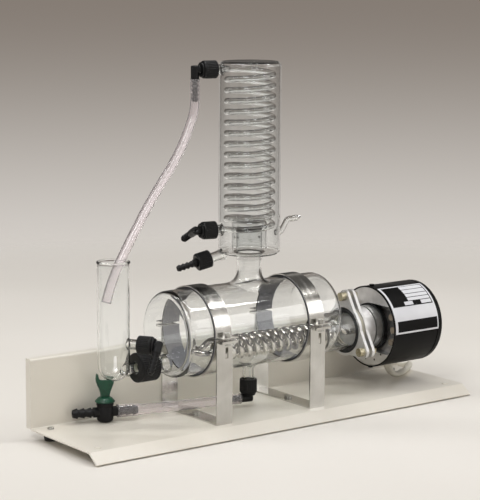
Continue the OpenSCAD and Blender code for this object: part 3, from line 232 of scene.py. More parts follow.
# the coil winds inwards for three turns, climbs onto itself over half a turn, and winds outwards again
COIL_AT, COIL_R, COIL_LAY = np.array([0.205, 0.170, 0.00475]), 0.0492, 0.0081
LAYER_TURNS, TURN_STEPS, PATH_STEP = 3, 48, 0.004
turns = np.arange(2 * LAYER_TURNS * TURN_STEPS + 1) / TURN_STEPS
reach = COIL_R - COIL_LAY * (LAYER_TURNS - np.abs(turns - LAYER_TURNS))
climb = COIL_LAY * np.clip((turns - LAYER_TURNS) * 2 + 0.5, 0, 1)
angle = 2 * np.pi * turns
coil = COIL_AT + np.stack([reach * np.cos(angle), reach * np.sin(angle), climb], 1)
run_in = np.array([0, LEAD_D, 0])
lead_path = np.vstack([smooth_path(LEAD + [coil[0] - run_in, coil[0]], PATH_STEP)[:-1], coil,
                       smooth_path([coil[-1], coil[-1] + run_in] + TAIL, PATH_STEP)[1:]])
cable = piece("mains lead", *tube(lead_path, LEAD_D / 2, LEAD_SIDES), cream, "frame", slot="mains_cable")
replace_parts(cable, "mains_cable", "cable_coil")

# the tapered relief, ribbed like a moulded bend protector
RELIEF = [[.2059, .0069, .0399], [.2079, .0075, .0354], [.2101, .0082, .031], [.213, .0092, .027],
          [.2164, .0103, .0235], [.2204, .0116, .0208]]
RELIEF_R, RELIEF_TAPER, RELIEF_GROOVE, RELIEF_RIBS, RELIEF_PLAIN = 0.0055, 0.0013, 0.0005, 9, 0.2
relief_path = smooth_path(RELIEF, 0.0005)
s = np.linspace(0, 1, len(relief_path))
groove = np.clip(np.sin(s * RELIEF_RIBS * 2 * np.pi) * 3, 0, 1) * (s > RELIEF_PLAIN)
relief_r = RELIEF_R - RELIEF_TAPER * s - RELIEF_GROOVE * groove
relief = piece("cable relief", *tube(relief_path, relief_r, RELIEF_SIDES), cream, "frame", slot="cable_relief")
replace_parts(relief, "cable_relief")

# Plug.
# A three-pin plug: a moulded urea cover with a gloss, and solid brass pins.
plug_plastic, t, b = material("cream urea moulding", "#dbd7ca", 0.32)
vary(t, b, "Roughness", noise(t, 10), 0.26, 0.4)
brass, t, b = material("plug brass", "#c9a95c", 0.25, 1.0)
vary(t, b, "Roughness", noise(t, 2), 0.18, 0.36)
dress(plug_plastic, "plug_body")
dress(brass, "plug_pins")


# Studio floor.
# A sheet of matt pale paper that fades into the backdrop, as a curved studio sweep does.
def tint(tree, shader, source, low, high):
    """Runs the base colour between two hex colours with a noise."""
    r = add(tree, "ShaderNodeValToRGB", {"Fac": source})
    r.color_ramp.elements[0].position, r.color_ramp.elements[1].position = NOISE_LOW, NOISE_HIGH
    r.color_ramp.elements[0].color, r.color_ramp.elements[1].color = to_linear(low), to_linear(high)
    tree.links.new(r.outputs[0], shader.inputs["Base Color"])


FLOOR_R, FADE_FROM, FADE_TO = 1.75, 0.75, 1.7
paper, t, b = material("studio paper", "#e6e2dc", 0.85)
tint(t, b, noise(t, 600, 2), "#e3dfd8", "#e9e5df")
where = add(t, "ShaderNodeTexCoord").outputs["Object"]
away = add(t, "ShaderNodeVectorMath", {0: where}, operation="LENGTH").outputs["Value"]
fade = add(t, "ShaderNodeMapRange", {"Value": away, "From Min": FADE_FROM, "From Max": FADE_TO,
                                     "To Min": 0.0, "To Max": 1.0}, interpolation_type="SMOOTHERSTEP").outputs[0]
clear = add(t, "ShaderNodeBsdfTransparent").outputs[0]
mix = add(t, "ShaderNodeMixShader", {0: fade, 1: b.outputs[0], 2: clear})
t.links.new(mix.outputs[0], t.nodes["Material Output"].inputs[0])
bpy.ops.mesh.primitive_circle_add(vertices=96, radius=FLOOR_R, fill_type="NGON", location=(0, 0, 0))
floor = bpy.context.object
floor.name = "studio floor"
floor.data.materials.append(paper)
floor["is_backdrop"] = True


# Studio lights.
# A large soft light above the camera's left, a weaker one at the right, and a long strip overhead,
# square to the camera, which draws the fine lines on coil, straps and rims.
def hang(name, shape, size, watts):
    """A soft light of that shape, in watts; returns its object and its data."""
    d = bpy.data.lights.new(name, "AREA")
    d.shape, d.size, d.energy = shape, size, watts
    o = bpy.data.objects.new(name, d)
    bpy.context.collection.objects.link(o)
    return o, d


for name, place, target, size, watts in [
        ("key", (-1.5, -0.9, 1.9), (0, 0, 0.1), 1.0, 19), ("fill", (1.5, -1.5, 1.0), (0, 0, 0.15), 0.9, 6)]:
    lamp, _ = hang(name, "SQUARE", size, watts)
    lamp.location = place
    lamp.rotation_euler = (Vector(target) - Vector(place)).to_track_quat("-Z", "Y").to_euler()
STRIP_L, STRIP_W, STRIP_AT, STRIP_WATTS = 2.8, 0.12, (0.1, 0.15, 1.7), 19
strip, strip_data = hang("strip", "RECTANGLE", STRIP_L, STRIP_WATTS)
strip_data.size_y = STRIP_W
strip.location = STRIP_AT
strip.rotation_euler = (0, 0, -YAW)

# Backdrop and surroundings.
# The backdrop is pale at the floor and warm grey above. Glass sees it too, but only straight ahead,
# so that its edges go dark as in front of a lit panel. Metal sees a studio: bright behind the camera,
# a dark gap overhead, a dim ceiling, and narrow dark bands at the sides. Matt things see a plain level.
BACK_LOW, BACK_HIGH, ROOM = "#dcd7d1", "#857c74", "#e6e1db"
BACK_LOW_Z, BACK_HIGH_Z = -0.2, -0.02
PANEL_EDGE, PANEL_FULL, PANEL_DARK = 0.74, 0.94, 0.07
MATT_LEVEL = 0.42
# from behind the camera (0) to straight ahead (1), and from its left (0) to its right (1)
AHEAD_STOPS = [(0.0, 0.8), (0.3, 1.0), (0.44, 1.0), (0.455, 0.03), (0.475, 0.03), (0.49, 0.85), (0.55, 0.8),
               (0.6, 0.14), (0.88, 0.14), (0.93, 0.6), (1.0, 0.6)]
SIDE_STOPS = [(0.0, 1.0), (0.13, 1.0), (0.15, 0.1), (0.2, 0.1), (0.22, 1.0), (0.46, 1.0), (0.475, 0.15),
              (0.525, 0.15), (0.54, 1.0), (1.0, 1.0)]


def levels(tree, source, pairs):
    """Grey levels at places from 0 to 1, read at a direction that runs from -1 to 1."""
    half = add(tree, "ShaderNodeMath", {0: source, 1: 0.5, 2: 0.5}, operation="MULTIPLY_ADD").outputs[0]
    ramp = add(tree, "ShaderNodeValToRGB", {"Fac": half})
    marks = ramp.color_ramp.elements
    for k, (place, _) in enumerate(pairs):
        mark = marks[k] if k < 2 else marks.new(place)
        mark.position = place
    for mark, (place, value) in zip(marks, pairs):
        mark.position, mark.color = place, (value, value, value, 1)
    return ramp.outputs[0]


world = bpy.data.worlds.new("studio")
bpy.context.scene.world = world
world.use_nodes = True
wt = world.node_tree
for n in list(wt.nodes):
    wt.nodes.remove(n)
rays = add(wt, "ShaderNodeLightPath")
aim = add(wt, "ShaderNodeSeparateXYZ", {0: add(wt, "ShaderNodeTexCoord").outputs["Generated"]}).outputs["Z"]
high = add(wt, "ShaderNodeMapRange", {"Value": aim, "From Min": BACK_LOW_Z, "From Max": BACK_HIGH_Z,
                                      "To Min": 0.0, "To Max": 1.0}, interpolation_type="SMOOTHSTEP").outputs[0]
drop = add(wt, "ShaderNodeMix", {0: high, 6: to_linear(BACK_LOW), 7: to_linear(BACK_HIGH)},
           data_type="RGBA").outputs[2]
view = add(wt, "ShaderNodeVectorMath", {0: add(wt, "ShaderNodeTexCoord").outputs["Camera"]}, operation="NORMALIZE")
seen = add(wt, "ShaderNodeSeparateXYZ", {0: view.outputs[0]})
panel_light = add(wt, "ShaderNodeMapRange", {"Value": seen.outputs["Z"], "From Min": PANEL_EDGE,
                                             "From Max": PANEL_FULL, "To Min": PANEL_DARK, "To Max": 1.0},
                  interpolation_type="SMOOTHSTEP").outputs[0]
shown = add(wt, "ShaderNodeMath", {0: rays.outputs["Is Camera Ray"], 1: panel_light}, operation="MAXIMUM").outputs[0]
pale = add(wt, "ShaderNodeBackground", {"Color": drop, "Strength": shown})
bright = add(wt, "ShaderNodeMath", {0: levels(wt, seen.outputs["Z"], AHEAD_STOPS),
                                    1: levels(wt, seen.outputs["X"], SIDE_STOPS)}, operation="MULTIPLY").outputs[0]
matt = add(wt, "ShaderNodeMath", {0: rays.outputs["Is Diffuse Ray"], 1: MATT_LEVEL}, operation="MULTIPLY").outputs[0]
gloss = add(wt, "ShaderNodeMath", {0: 1.0, 1: rays.outputs["Is Diffuse Ray"]}, operation="SUBTRACT").outputs[0]
level = add(wt, "ShaderNodeMath", {0: gloss, 1: bright, 2: matt}, operation="MULTIPLY_ADD").outputs[0]
room = add(wt, "ShaderNodeBackground", {"Color": to_linear(ROOM), "Strength": level})
through = add(wt, "ShaderNodeMath", {0: rays.outputs["Is Camera Ray"], 1: rays.outputs["Is Transmission Ray"]},
              operation="MAXIMUM").outputs[0]
mixed = add(wt, "ShaderNodeMixShader", {0: through, 1: room.outputs[0], 2: pale.outputs[0]})
wt.links.new(mixed.outputs[0], add(wt, "ShaderNodeOutputWorld").inputs[0])
bpy.context.scene.view_settings.view_transform = "Standard"

# Tray.
# One sheet of 1.5 mm steel, folded and powder coated in cream: a soft gloss with a faint orange
# peel, and a little grime in wide patches.
paint, t, b = material("cream powder coat", "#e2dcd1", 0.32, Coat_Weight=0.25, Coat_Roughness=0.14)
tint(t, b, noise(t, 120, 4), "#e0dace", "#e4dfd5")
vary(t, b, "Roughness", noise(t, 45), 0.29, 0.36)
bump(t, b, noise(t, 2.5, 1), 0.006)
dress(paint, "base_tray")


# Feet and their screws.
# Tapered black rubber feet, held by pan-head screws from above. The rear screws are bare zinc; the
# front pair's heads are painted over with the tray.
def moved(v, place):
    """Points carried by a 4 by 4 matrix."""
    m = np.array(place)
    return np.asarray(v) @ m[:3, :3].T + m[:3, 3]


def at(x, y, z, *turns):
    """A place in millimetres with turns in degrees about named axes, first turn outermost."""
    m = Matrix.Translation((x / 1000, y / 1000, z / 1000))
    for axis, deg in turns:
        m = m @ Matrix.Rotation(math.radians(deg), 4, axis)
    return m


def lathe(profile, place, sides=96, closed=True):
    """Turns (radius, height) points about the place's Z axis: each point goes round as radius times
    cosine and sine; counter-clockwise profiles face outwards."""
    p = np.array(profile, float)
    a = np.linspace(0, 2 * np.pi, sides, endpoint=False)
    v = np.stack([np.outer(p[:, 0], np.cos(a)), np.outer(p[:, 0], np.sin(a)),
                  np.outer(p[:, 1], np.ones(sides))], axis=2).reshape(-1, 3)
    return moved(v, place), quads(len(p), sides, close_u=closed)


ORIGIN = at(0, 0, 0)
TRAY_TOP = 13
FOOT_XS, FOOT_FRONT_Y, FOOT_REAR_Y = (-256, 256), -46.2, 51.8
SCREW_HEAD_R, SCREW_HEAD_H, PAINTED_HEAD_H, SCREW_SHANK_R, SCREW_DEPTH = 3.8, 2.2, 1.0, 2, 9.5
# moulded rubber: matt and slightly dusty
rubber, t, b = material("black rubber", "#1b1b1c", 0.72)
tint(t, b, noise(t, 8), "#161617", "#242424")
vary(t, b, "Roughness", noise(t, 3), 0.62, 0.82)
bump(t, b, noise(t, 0.7, 2), 0.03)
# zinc plate, barrelled: a dull silver with small blotches
zinc, t, b = material("zinc plate", "#b4b3ae", 0.3, 1.0)
tint(t, b, noise(t, 4, 4), "#a3a29c", "#c4c3bf")
vary(t, b, "Roughness", noise(t, 2), 0.22, 0.42)
dress(rubber, "rubber_feet")
dress(zinc, "foot_screws")
for x in FOOT_XS:
    for y, row, head_h, finish in [(FOOT_FRONT_Y, "front", PAINTED_HEAD_H, paint),
                                   (FOOT_REAR_Y, "rear", SCREW_HEAD_H, zinc)]:
        # the head's edge is a quarter ellipse of four fifths of its height
        arc, round_h = np.linspace(0, math.pi / 2, 8), head_h * 0.8
        crown = [(SCREW_HEAD_R - round_h + round_h * math.cos(a), head_h - round_h + round_h * math.sin(a))
                 for a in arc]
        v, f = lathe([(0, -SCREW_DEPTH), (SCREW_SHANK_R, -SCREW_DEPTH), (SCREW_SHANK_R, 0), (SCREW_HEAD_R, 0)]
                     + crown + [(0, head_h)], ORIGIN, 40, closed=False)
        screw = piece(f"foot screw {row} {'left' if x < 0 else 'right'}", moved(v / 1000, at(x, y, TRAY_TOP)), f,
                      finish, "frame", slot="foot_screws")
        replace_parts(screw, "foot_screws")

# Brackets, straps and their linings.
# Flat steel bar with bright nickel plate, bent to shape: drawn along the bar, with soft blotches.
# Foam-rubber tape lines the straps: black at its edges, with its broad faces painted mid-grey as a painted sheen.
plate, t, b = material("bright plated steel", "#c9c8c4", 0.16, 1.0)
tint(t, b, noise(t, 30, 4), "#b9b7b2", "#d2d1cd")
vary(t, b, "Roughness", noise(t, 6, 4, (1, 0.15, 0.15)), 0.1, 0.26)
bump(t, b, noise(t, 5, 2), 0.02)
dress(plate, "left_bracket", "right_bracket", "left_lower_strap", "right_lower_strap", "left_upper_strap",
      "right_upper_strap")
dress(zinc, "bracket_screws", "strap_screws", "strap_nuts")
tape, t, b = material("lining tape", "#1b1b1c", 0.6)
across = add(t, "ShaderNodeSeparateXYZ", {0: add(t, "ShaderNodeNewGeometry").outputs["True Normal"]}).outputs["X"]
tilt = add(t, "ShaderNodeMath", {0: across}, operation="ABSOLUTE").outputs[0]
face = add(t, "ShaderNodeMath", {0: tilt, 1: 0.5}, operation="LESS_THAN").outputs[0]
# the broad faces get the lighter grey: painted sheen chosen by facing, not the tape's own colour
r = add(t, "ShaderNodeMix", {0: face, 6: to_linear("#19191a"), 7: to_linear("#8d8b90")}, data_type="RGBA")
t.links.new(r.outputs[2], b.inputs["Base Color"])
vary(t, b, "Roughness", noise(t, 4), 0.5, 0.7)
dress(tape, "strap_linings")


# Boiler.
# A cylinder of blown borosilicate glass with a vapour neck, a drain arm, a feed arm and a heater
# neck. Every arm grows out of the vessel in a soft flare, and the wall keeps its real thickness.
def glass_material(name, colour, depth_mm):
    """Clear glass whose surface waves slowly; light passes it without a hard shadow."""
    m, t, b = material(name, colour, 0.015, Transmission_Weight=1.0, IOR=1.47)
    bump(t, b, noise(t, 22, 2), depth_mm)
    see_through(t, b, "#f6f7f6")
    return m


def see_through(tree, shader, colour):
    """Lets light through to what stands behind, tinted by a colour."""
    thin = add(tree, "ShaderNodeBsdfTransparent", {"Color": to_linear(colour)})
    shadow = add(tree, "ShaderNodeLightPath").outputs["Is Shadow Ray"]
    mix = add(tree, "ShaderNodeMixShader", {0: shadow, 1: shader.outputs[0], 2: thin.outputs[0]})
    tree.links.new(mix.outputs[0], tree.nodes["Material Output"].inputs[0])


def blown(name, outside, inside):
    """One glass piece: the union of the outer solids less the inner ones, in row-frame metres."""
    objs = []
    for v, f in outside + inside:
        me = bpy.data.meshes.new("part")
        me.from_pydata(v.tolist(), [], f)
        me.validate()
        o = bpy.data.objects.new("part", me)
        bpy.context.collection.objects.link(o)
        objs.append(o)
    for i, o in enumerate(objs[1:]):
        m = objs[0].modifiers.new("cut", "BOOLEAN")
        m.operation = "UNION" if i < len(outside) - 1 else "DIFFERENCE"
        m.solver, m.object = "EXACT", o
    done = bpy.data.meshes.new_from_object(objs[0].evaluated_get(bpy.context.evaluated_depsgraph_get()))
    for o in objs:
        bpy.data.objects.remove(o)
    points = np.empty(len(done.vertices) * 3, np.float32)
    done.vertices.foreach_get("co", points)
    node = name.replace(" ", "_")
    o = piece(name, points.reshape(-1, 3), [tuple(q.vertices) for q in done.polygons], glass, "frame", slot=node)
    o.data.set_sharp_from_angle(angle=math.radians(SHARP_ANGLE))
    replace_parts(o, node)


def solid(profile, place, sides=96):
    """Turns (radius, height) points in mm about the place's Z axis; both ends are flat and closed."""
    v, f = lathe(np.array(profile, float) / 1000, place, sides, closed=False)
    return v, capped(len(profile), sides)


def saddle(r, big, flare, beyond, place, deep=None, sides=72):
    """An arm about local Z that flares onto a cylinder of radius big lying along local X (0: a flat end).
    Its foot follows the cylinder, as the root of big squared less y squared. From there it rises to the
    arm's radius on a quadratic curve that leaves along the cylinder's skin and arrives along the arm."""
    a = np.linspace(0, 2 * np.pi, sides, endpoint=False)
    wide = r + flare
    z2 = np.sqrt(big ** 2 - (wide * np.sin(a)) ** 2) if big else np.zeros(sides)
    z1 = z2 + (wide * np.sin(a) ** 2 / z2 * flare if big else 0)
    z0 = z1 + flare
    deep = big * 0.55 - 3 if deep is None else deep
    rows = [(np.full(sides, r), np.full(sides, deep)), (np.full(sides, wide - 0.4), z2 - 1.1),
            (np.full(sides, wide), z2 - 0.05)]
    for t in np.linspace(0.08, 1, 12):
        rows.append(((1 - t) ** 2 * wide + (1 - (1 - t) ** 2) * r,
                     (1 - t) ** 2 * z2 + 2 * t * (1 - t) * z1 + t * t * z0))
    rows += [(np.full(sides, q[0]), np.full(sides, float(q[1]))) for q in beyond]
    v = np.array([np.stack([p * np.cos(a), p * np.sin(a), z], 1) for p, z in rows]).reshape(-1, 3) / 1000
    return moved(v, place), capped(len(rows), sides)


def pot(r, l, c, c2=None, step=3.5):
    """The profile of a closed vessel: quarter circles of radius c and c2 at its shoulders, a long side
    divided every step, and flat ends in tenths of the radius."""
    c2 = c if c2 is None else c2
    q = np.linspace(0, math.pi / 2, 9)
    p = [(r * k / 10, 0) for k in range(1, 10) if r * k / 10 < r - c - 1]
    p += [(r - c + c * math.sin(t), c - c * math.cos(t)) for t in q]
    p += [(r, z) for z in np.arange(c + step, l - c2 - step / 2, step)]
    p += [(r - c2 + c2 * math.cos(t), l - c2 + c2 * math.sin(t)) for t in q]
    return p + [(r * k / 10, l) for k in range(9, 0, -1) if r * k / 10 < r - c2 - 1]


def threaded(start, r=6.16, ridge=7.0, end=11.7, pitch=3.2, neck=5.7):
    """The arm's end under its cap: a core with three ridges; start is the cap's edge."""
    p = [(neck, start - 0.2), (r, start)]
    for i in (2, 1, 0):
        e = start + end - 1.4 - pitch * i
        p += [(r, e), (ridge, e + 0.3), (ridge, e + 1.1), (r, e + 1.4)]
    return p


# places in millimetres: the boiler's left end, its axis, and the axes of its arms
BOILER_X, AXIS_Y, BOILER_Z = -130, 7.4, 113
NECK_X, HEATER_Z, FEED_Z = -11, 86.7, 80
BOILER_R, BOILER_L, BOILER_WALL, SHOULDER = 50, 224, 2.4, 8
NECK_R, NECK_FLARE, ARM_BORE, FEED_R, FEED_BORE, HEATER_R, HEATER_BORE = 14.5, 14, 4.3, 10.5, 9.1, 23.5, 21.1
TO_X, TO_LEFT, DOWN = ("Y", 90), ("Y", -90), ("X", 180)
SHARP_ANGLE = 38
glass = glass_material("borosilicate glass", "#feffff", 0.06)
dress(glass, "boiler_glass", "condenser_jacket", "level_tube", "vapour_riser", "splash_cap")
INNER_R, INNER_X = BOILER_R - BOILER_WALL, BOILER_X + BOILER_WALL
boiler_out = [
    solid(pot(BOILER_R, BOILER_L, SHOULDER), at(BOILER_X, AXIS_Y, BOILER_Z, TO_X), 144),
    saddle(NECK_R, BOILER_R, NECK_FLARE, [(14.7, 75), (15.6, 79), (17.2, 82), (18.6, 83.5)],
           at(NECK_X, AXIS_Y, BOILER_Z), sides=96),
    saddle(6.6, BOILER_R, 6.5, threaded(67, neck=6.6), at(NECK_X, AXIS_Y, BOILER_Z, DOWN)),
    solid([(HEATER_R, 216), (HEATER_R, 264), (23.7, 265.6), (24.9, 267.2), (26.6, 268.2), (27, 269.4), (27, 271.2),
           (26.4, 272), (25, 272)], at(BOILER_X, AXIS_Y, HEATER_Z, TO_X)),
    saddle(FEED_R, 0, 1.8, threaded(16.6, 11.2, 12.2, 18.4, neck=FEED_R), at(BOILER_X, AXIS_Y, FEED_Z, TO_LEFT), -8)]
boiler_in = [
    solid(pot(INNER_R, BOILER_L - 2 * BOILER_WALL, 3.2, 5.0), at(INNER_X, AXIS_Y, BOILER_Z, TO_X), 144),
    saddle(12.1, INNER_R, NECK_FLARE + BOILER_WALL, [(12.4, 77), (13.4, 81), (15.4, 83.6), (15.4, 90)],
           at(NECK_X, AXIS_Y, BOILER_Z), sides=96),
    saddle(ARM_BORE, INNER_R, 7.4, [(ARM_BORE, 90)], at(NECK_X, AXIS_Y, BOILER_Z, DOWN)),
    solid([(HEATER_BORE, 150), (HEATER_BORE, 280)], at(BOILER_X, AXIS_Y, HEATER_Z, TO_X)),
    saddle(FEED_BORE, 0, 3.2, [(FEED_BORE, 50)], at(INNER_X, AXIS_Y, FEED_Z, TO_LEFT), -8)]
blown("boiler glass", boiler_out, boiler_in)


# Condenser jacket.
# An upright glass cylinder sealed onto the vapour neck, with two water arms, a sloping outlet for
# the distillate, and a small bent vent. It is drawn at the lamp like the boiler.
def leg(start, slope, steps):
    """Points on from a start along a slope in degrees, at the given distances."""
    a = math.radians(slope)
    return np.array(start) + np.outer(steps, [math.cos(a), math.sin(a)])


def bend(start, slope, end_slope, r):
    """An arc of radius r that turns from one slope to the other: the differences of their sines and
    cosines, times the radius, upwards or downwards."""
    a, s = math.radians(slope), np.radians(np.linspace(slope, end_slope, 13))
    side = 1 if end_slope > slope else -1
    return np.array(start) + side * r * np.stack([np.sin(s) - math.sin(a), math.cos(a) - np.cos(s)], 1)


def placed(part, place):
    """A part's points moved to a place, with its faces."""
    return moved(part[0], place), part[1]


JACKET_R, JACKET_H, JACKET_Z, JACKET_WALL, RISER_R = 36, 223, 196.5, 2, 15.4
PORT, PORT_R, PORT_ZS, CAP_EDGE = ("Z", 168), 5.7, (226, 411), 43.5
VENT_BEND, VENT_R, VENT_BORE, VENT_FOOT, VENT_LEG, VENT_STEEP, VENT_TIP = 5.6, 0.0035, 0.0021, 1.2, 10.9, 60, 6
VENT_Z, VENT_TURN, VENT_END, VENT_FLARE = 218.5, ("Z", 348), 10.3, 0.0013
SPOUT_Z, SPOUT_OUT, SPOUT_SLOPE, SPOUT_L = 197.1, 34, ("Y", 13.5), 17
spout = at(NECK_X, AXIS_Y, SPOUT_Z, PORT) @ at(SPOUT_OUT, 0, 0, SPOUT_SLOPE) @ at(SPOUT_L, 0, 0)
rise = bend((VENT_FOOT, 0), 0, VENT_STEEP, VENT_BEND)
crest = bend(leg(rise[-1], VENT_STEEP, [VENT_LEG])[0], VENT_STEEP, VENT_TIP, VENT_BEND)
line = np.vstack([leg((0, 0), 0, np.arange(-5, VENT_FOOT, 1.0)), rise,
                  leg(rise[-1], VENT_STEEP, np.arange(0.9, VENT_LEG, 1.0)), crest,
                  leg(crest[-1], VENT_TIP, np.arange(0.9, VENT_END, 0.93))])
vent = np.stack([line[:, 0], np.zeros(len(line)), line[:, 1]], 1) / 1000
tip = np.array([math.cos(math.radians(VENT_TIP)), 0, math.sin(math.radians(VENT_TIP))])
vent_bore = np.vstack([vent[0] - [0.006, 0, 0], vent, vent[-1] + 0.004 * tip])
vent_at = at(NECK_X, AXIS_Y, VENT_Z, VENT_TURN) @ at(JACKET_R, 0, 0)
vent_r = np.full(len(vent), VENT_R)
vent_r[:5] += VENT_FLARE * np.linspace(0.9, 0, 5)
jacket_out = [solid(pot(JACKET_R, JACKET_H, 4, 5), at(NECK_X, AXIS_Y, JACKET_Z), 120)]
jacket_in = [solid(pot(JACKET_R - JACKET_WALL, JACKET_H - 2 * JACKET_WALL, 1.5, 2.5),
                   at(NECK_X, AXIS_Y, JACKET_Z + JACKET_WALL), 120),
             solid([(RISER_R, -3), (RISER_R, 3)], at(NECK_X, AXIS_Y, JACKET_Z), 96)]
for z in PORT_ZS:
    jacket_out.append(saddle(PORT_R, JACKET_R, 2.2, threaded(CAP_EDGE), at(NECK_X, AXIS_Y, z, PORT, TO_X)))
    jacket_in.append(solid([(ARM_BORE, 20), (ARM_BORE, 70)], at(NECK_X, AXIS_Y, z, PORT, TO_X), 48))
jacket_out.append(solid([(6.6, -19), (6.3, -13), (5.7, -8)] + threaded(0), spout @ at(0, 0, 0, TO_X), 48))
jacket_in.append(solid([(ARM_BORE, -23), (ARM_BORE, 20)], spout @ at(0, 0, 0, TO_X), 48))
jacket_out.append(placed(tube(vent, vent_r, 40), vent_at))
jacket_in.append(placed(tube(vent_bore, VENT_BORE, 40), vent_at))
blown("condenser jacket", jacket_out, jacket_in)


# Level tube.
# An open glass tube with a round bottom and a fire-polished bead at its rim. It stands on the feed
# arm beside the boiler and sets the water level; its overflow arm points forwards and left.
def cup(r, top):
    """The profile of a round bottom, a quarter circle, and a wall above it in steps of 3 mm."""
    q = np.linspace(0, math.pi / 2, 14)[1:]
    return [(r * math.sin(t), r - r * math.cos(t)) for t in q] + [(r, z) for z in np.arange(r + 3, top, 3)]


TUBE_X, TUBE_Z, TUBE_R, TUBE_WALL = -200, 69, 18.2, 1.5
OVERFLOW_Z, OVERFLOW_TURN, OVERFLOW_EDGE = 112.5, ("Z", -55), 29.8
RIM_R, BEAD_R, BEAD_Z = 17.45, 1.6, 134.4
rim = [(TUBE_R, 132.5)] + [(RIM_R + BEAD_R * math.cos(t), BEAD_Z + BEAD_R * math.sin(t))
                           for t in np.linspace(-1.05, 3.1, 16)]
overflow = at(TUBE_X, AXIS_Y, OVERFLOW_Z, OVERFLOW_TURN)
tube_out = [solid(cup(TUBE_R, 131) + rim, at(TUBE_X, AXIS_Y, TUBE_Z), 96),
            saddle(6.5, TUBE_R, 2, [(6.5, 44.5)], at(TUBE_X, AXIS_Y, FEED_Z, TO_X), 8),
            saddle(PORT_R, TUBE_R, 1.5, threaded(OVERFLOW_EDGE), overflow @ at(0, 0, 0, TO_X), 8)]
tube_in = [solid(cup(TUBE_R - TUBE_WALL, 148), at(TUBE_X, AXIS_Y, TUBE_Z + TUBE_WALL), 96),
           solid([(5.1, 8), (5.1, 60)], at(TUBE_X, AXIS_Y, FEED_Z, TO_X), 48),
           solid([(ARM_BORE, 8), (ARM_BORE, 60)], overflow @ at(0, 0, 0, TO_X), 48)]
blown("level tube", tube_out, tube_in)

# Condenser coil.
# Fifteen turns of 7.4 mm glass tube inside the jacket, wound hot on a mandrel. Both ends bend out
# radially into the water arms on one smooth curve.
COIL_TUBE_R, COIL_BORE, COIL_TURNS, COIL_RISE, EXIT_R = 0.0037, 0.0025, 15, 185, 10
COIL_CLEAR, COIL_HALF = 3.5, 4
coil_glass = glass_material("borosilicate coil tube", "#fdfefe", 0.02)
dress(coil_glass, "condenser_coil")
mid_r = JACKET_R - JACKET_WALL - COIL_CLEAR - COIL_HALF
ease = math.asin(EXIT_R / (mid_r + EXIT_R))
bend_x = (mid_r + EXIT_R) * math.cos(ease)
a = np.linspace(-math.pi / 2, -math.pi + ease, 14)
x = np.r_[np.linspace(bend_x + 8, bend_x, 5)[:-1], bend_x + EXIT_R * np.cos(a)]
y = np.r_[np.zeros(4), EXIT_R + EXIT_R * np.sin(a)]
exit_low = np.stack([x, y, np.zeros(len(x))], 1)
exit_high = exit_low[::-1] * [1, -1, 1] + [0, 0, COIL_RISE]
t = np.linspace(0, 1, COIL_TURNS * 56 + 1)[1:-1]
a = ease + t * (2 * math.pi * COIL_TURNS - 2 * ease)
helix = np.stack([mid_r * np.cos(a), mid_r * np.sin(a), COIL_RISE * t], 1)
route = moved(np.vstack([exit_low, helix, exit_high]) / 1000, at(NECK_X, AXIS_Y, PORT_ZS[0], PORT))
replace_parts(piece("condenser coil", *tube(route, COIL_TUBE_R, 20, COIL_BORE), coil_glass, "frame",
                  slot="condenser_coil"), "condenser_coil")

# Heater element.
# A 7 mm tubular element, chromed bright and faintly yellowed by heat. It runs out of the flange,
# winds eight turns along the boiler as two strands, and turns back in a bow at its far end.
ELEMENT_R, WIND_R, WIND_TURNS, WIND_EASE = 0.0035, 11.5, 8, 0.08
WIND_FAR, WIND_NEAR, ELEMENT_END = BOILER_X + 40 + 3.5 + WIND_R, 135 - 3.5, 156.3
chrome, t, b = material("chromed element tube", "#d4d1cc", 0.09, 1.0)
tint(t, b, noise(t, 14, 3), "#c2bdb5", "#dcdad6")
vary(t, b, "Roughness", noise(t, 8), 0.06, 0.16)
dress(chrome, "heater_coil")
# the winding starts and stops slowly, as a share of its length
t, k = np.linspace(0, 1, WIND_TURNS * 48 + 1), WIND_EASE
wound = np.where(t < k, t ** 2 / (2 * k), t - k / 2) / (1 - k)
wound = np.where(t > 1 - k, 1 - (1 - t) ** 2 / (2 * k * (1 - k)), wound)
a = -2 * math.pi * WIND_TURNS * wound
x = WIND_NEAR + t * (WIND_FAR - WIND_NEAR)
strand = np.stack([x, AXIS_Y + WIND_R * np.cos(a), HEATER_Z + WIND_R * np.sin(a)], 1)
back = np.stack([x, AXIS_Y - WIND_R * np.cos(a), HEATER_Z - WIND_R * np.sin(a)], 1)[::-1]
a = np.linspace(0, math.pi, 25)[1:-1]
bow = np.stack([WIND_FAR - WIND_R * np.sin(a), AXIS_Y + WIND_R * np.cos(a), np.full(len(a), HEATER_Z)], 1)
into = [(x, AXIS_Y + WIND_R, HEATER_Z) for x in np.arange(ELEMENT_END, WIND_NEAR, -2)]
out = [(x, AXIS_Y - WIND_R, HEATER_Z) for x in np.r_[np.arange(WIND_NEAR, ELEMENT_END, 2), ELEMENT_END]]
route = np.vstack([into, strand, bow, back, out]) / 1000
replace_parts(piece("heater coil", *tube(route, ELEMENT_R, 24), chrome, "frame", slot="heater_coil"), "heater_coil")


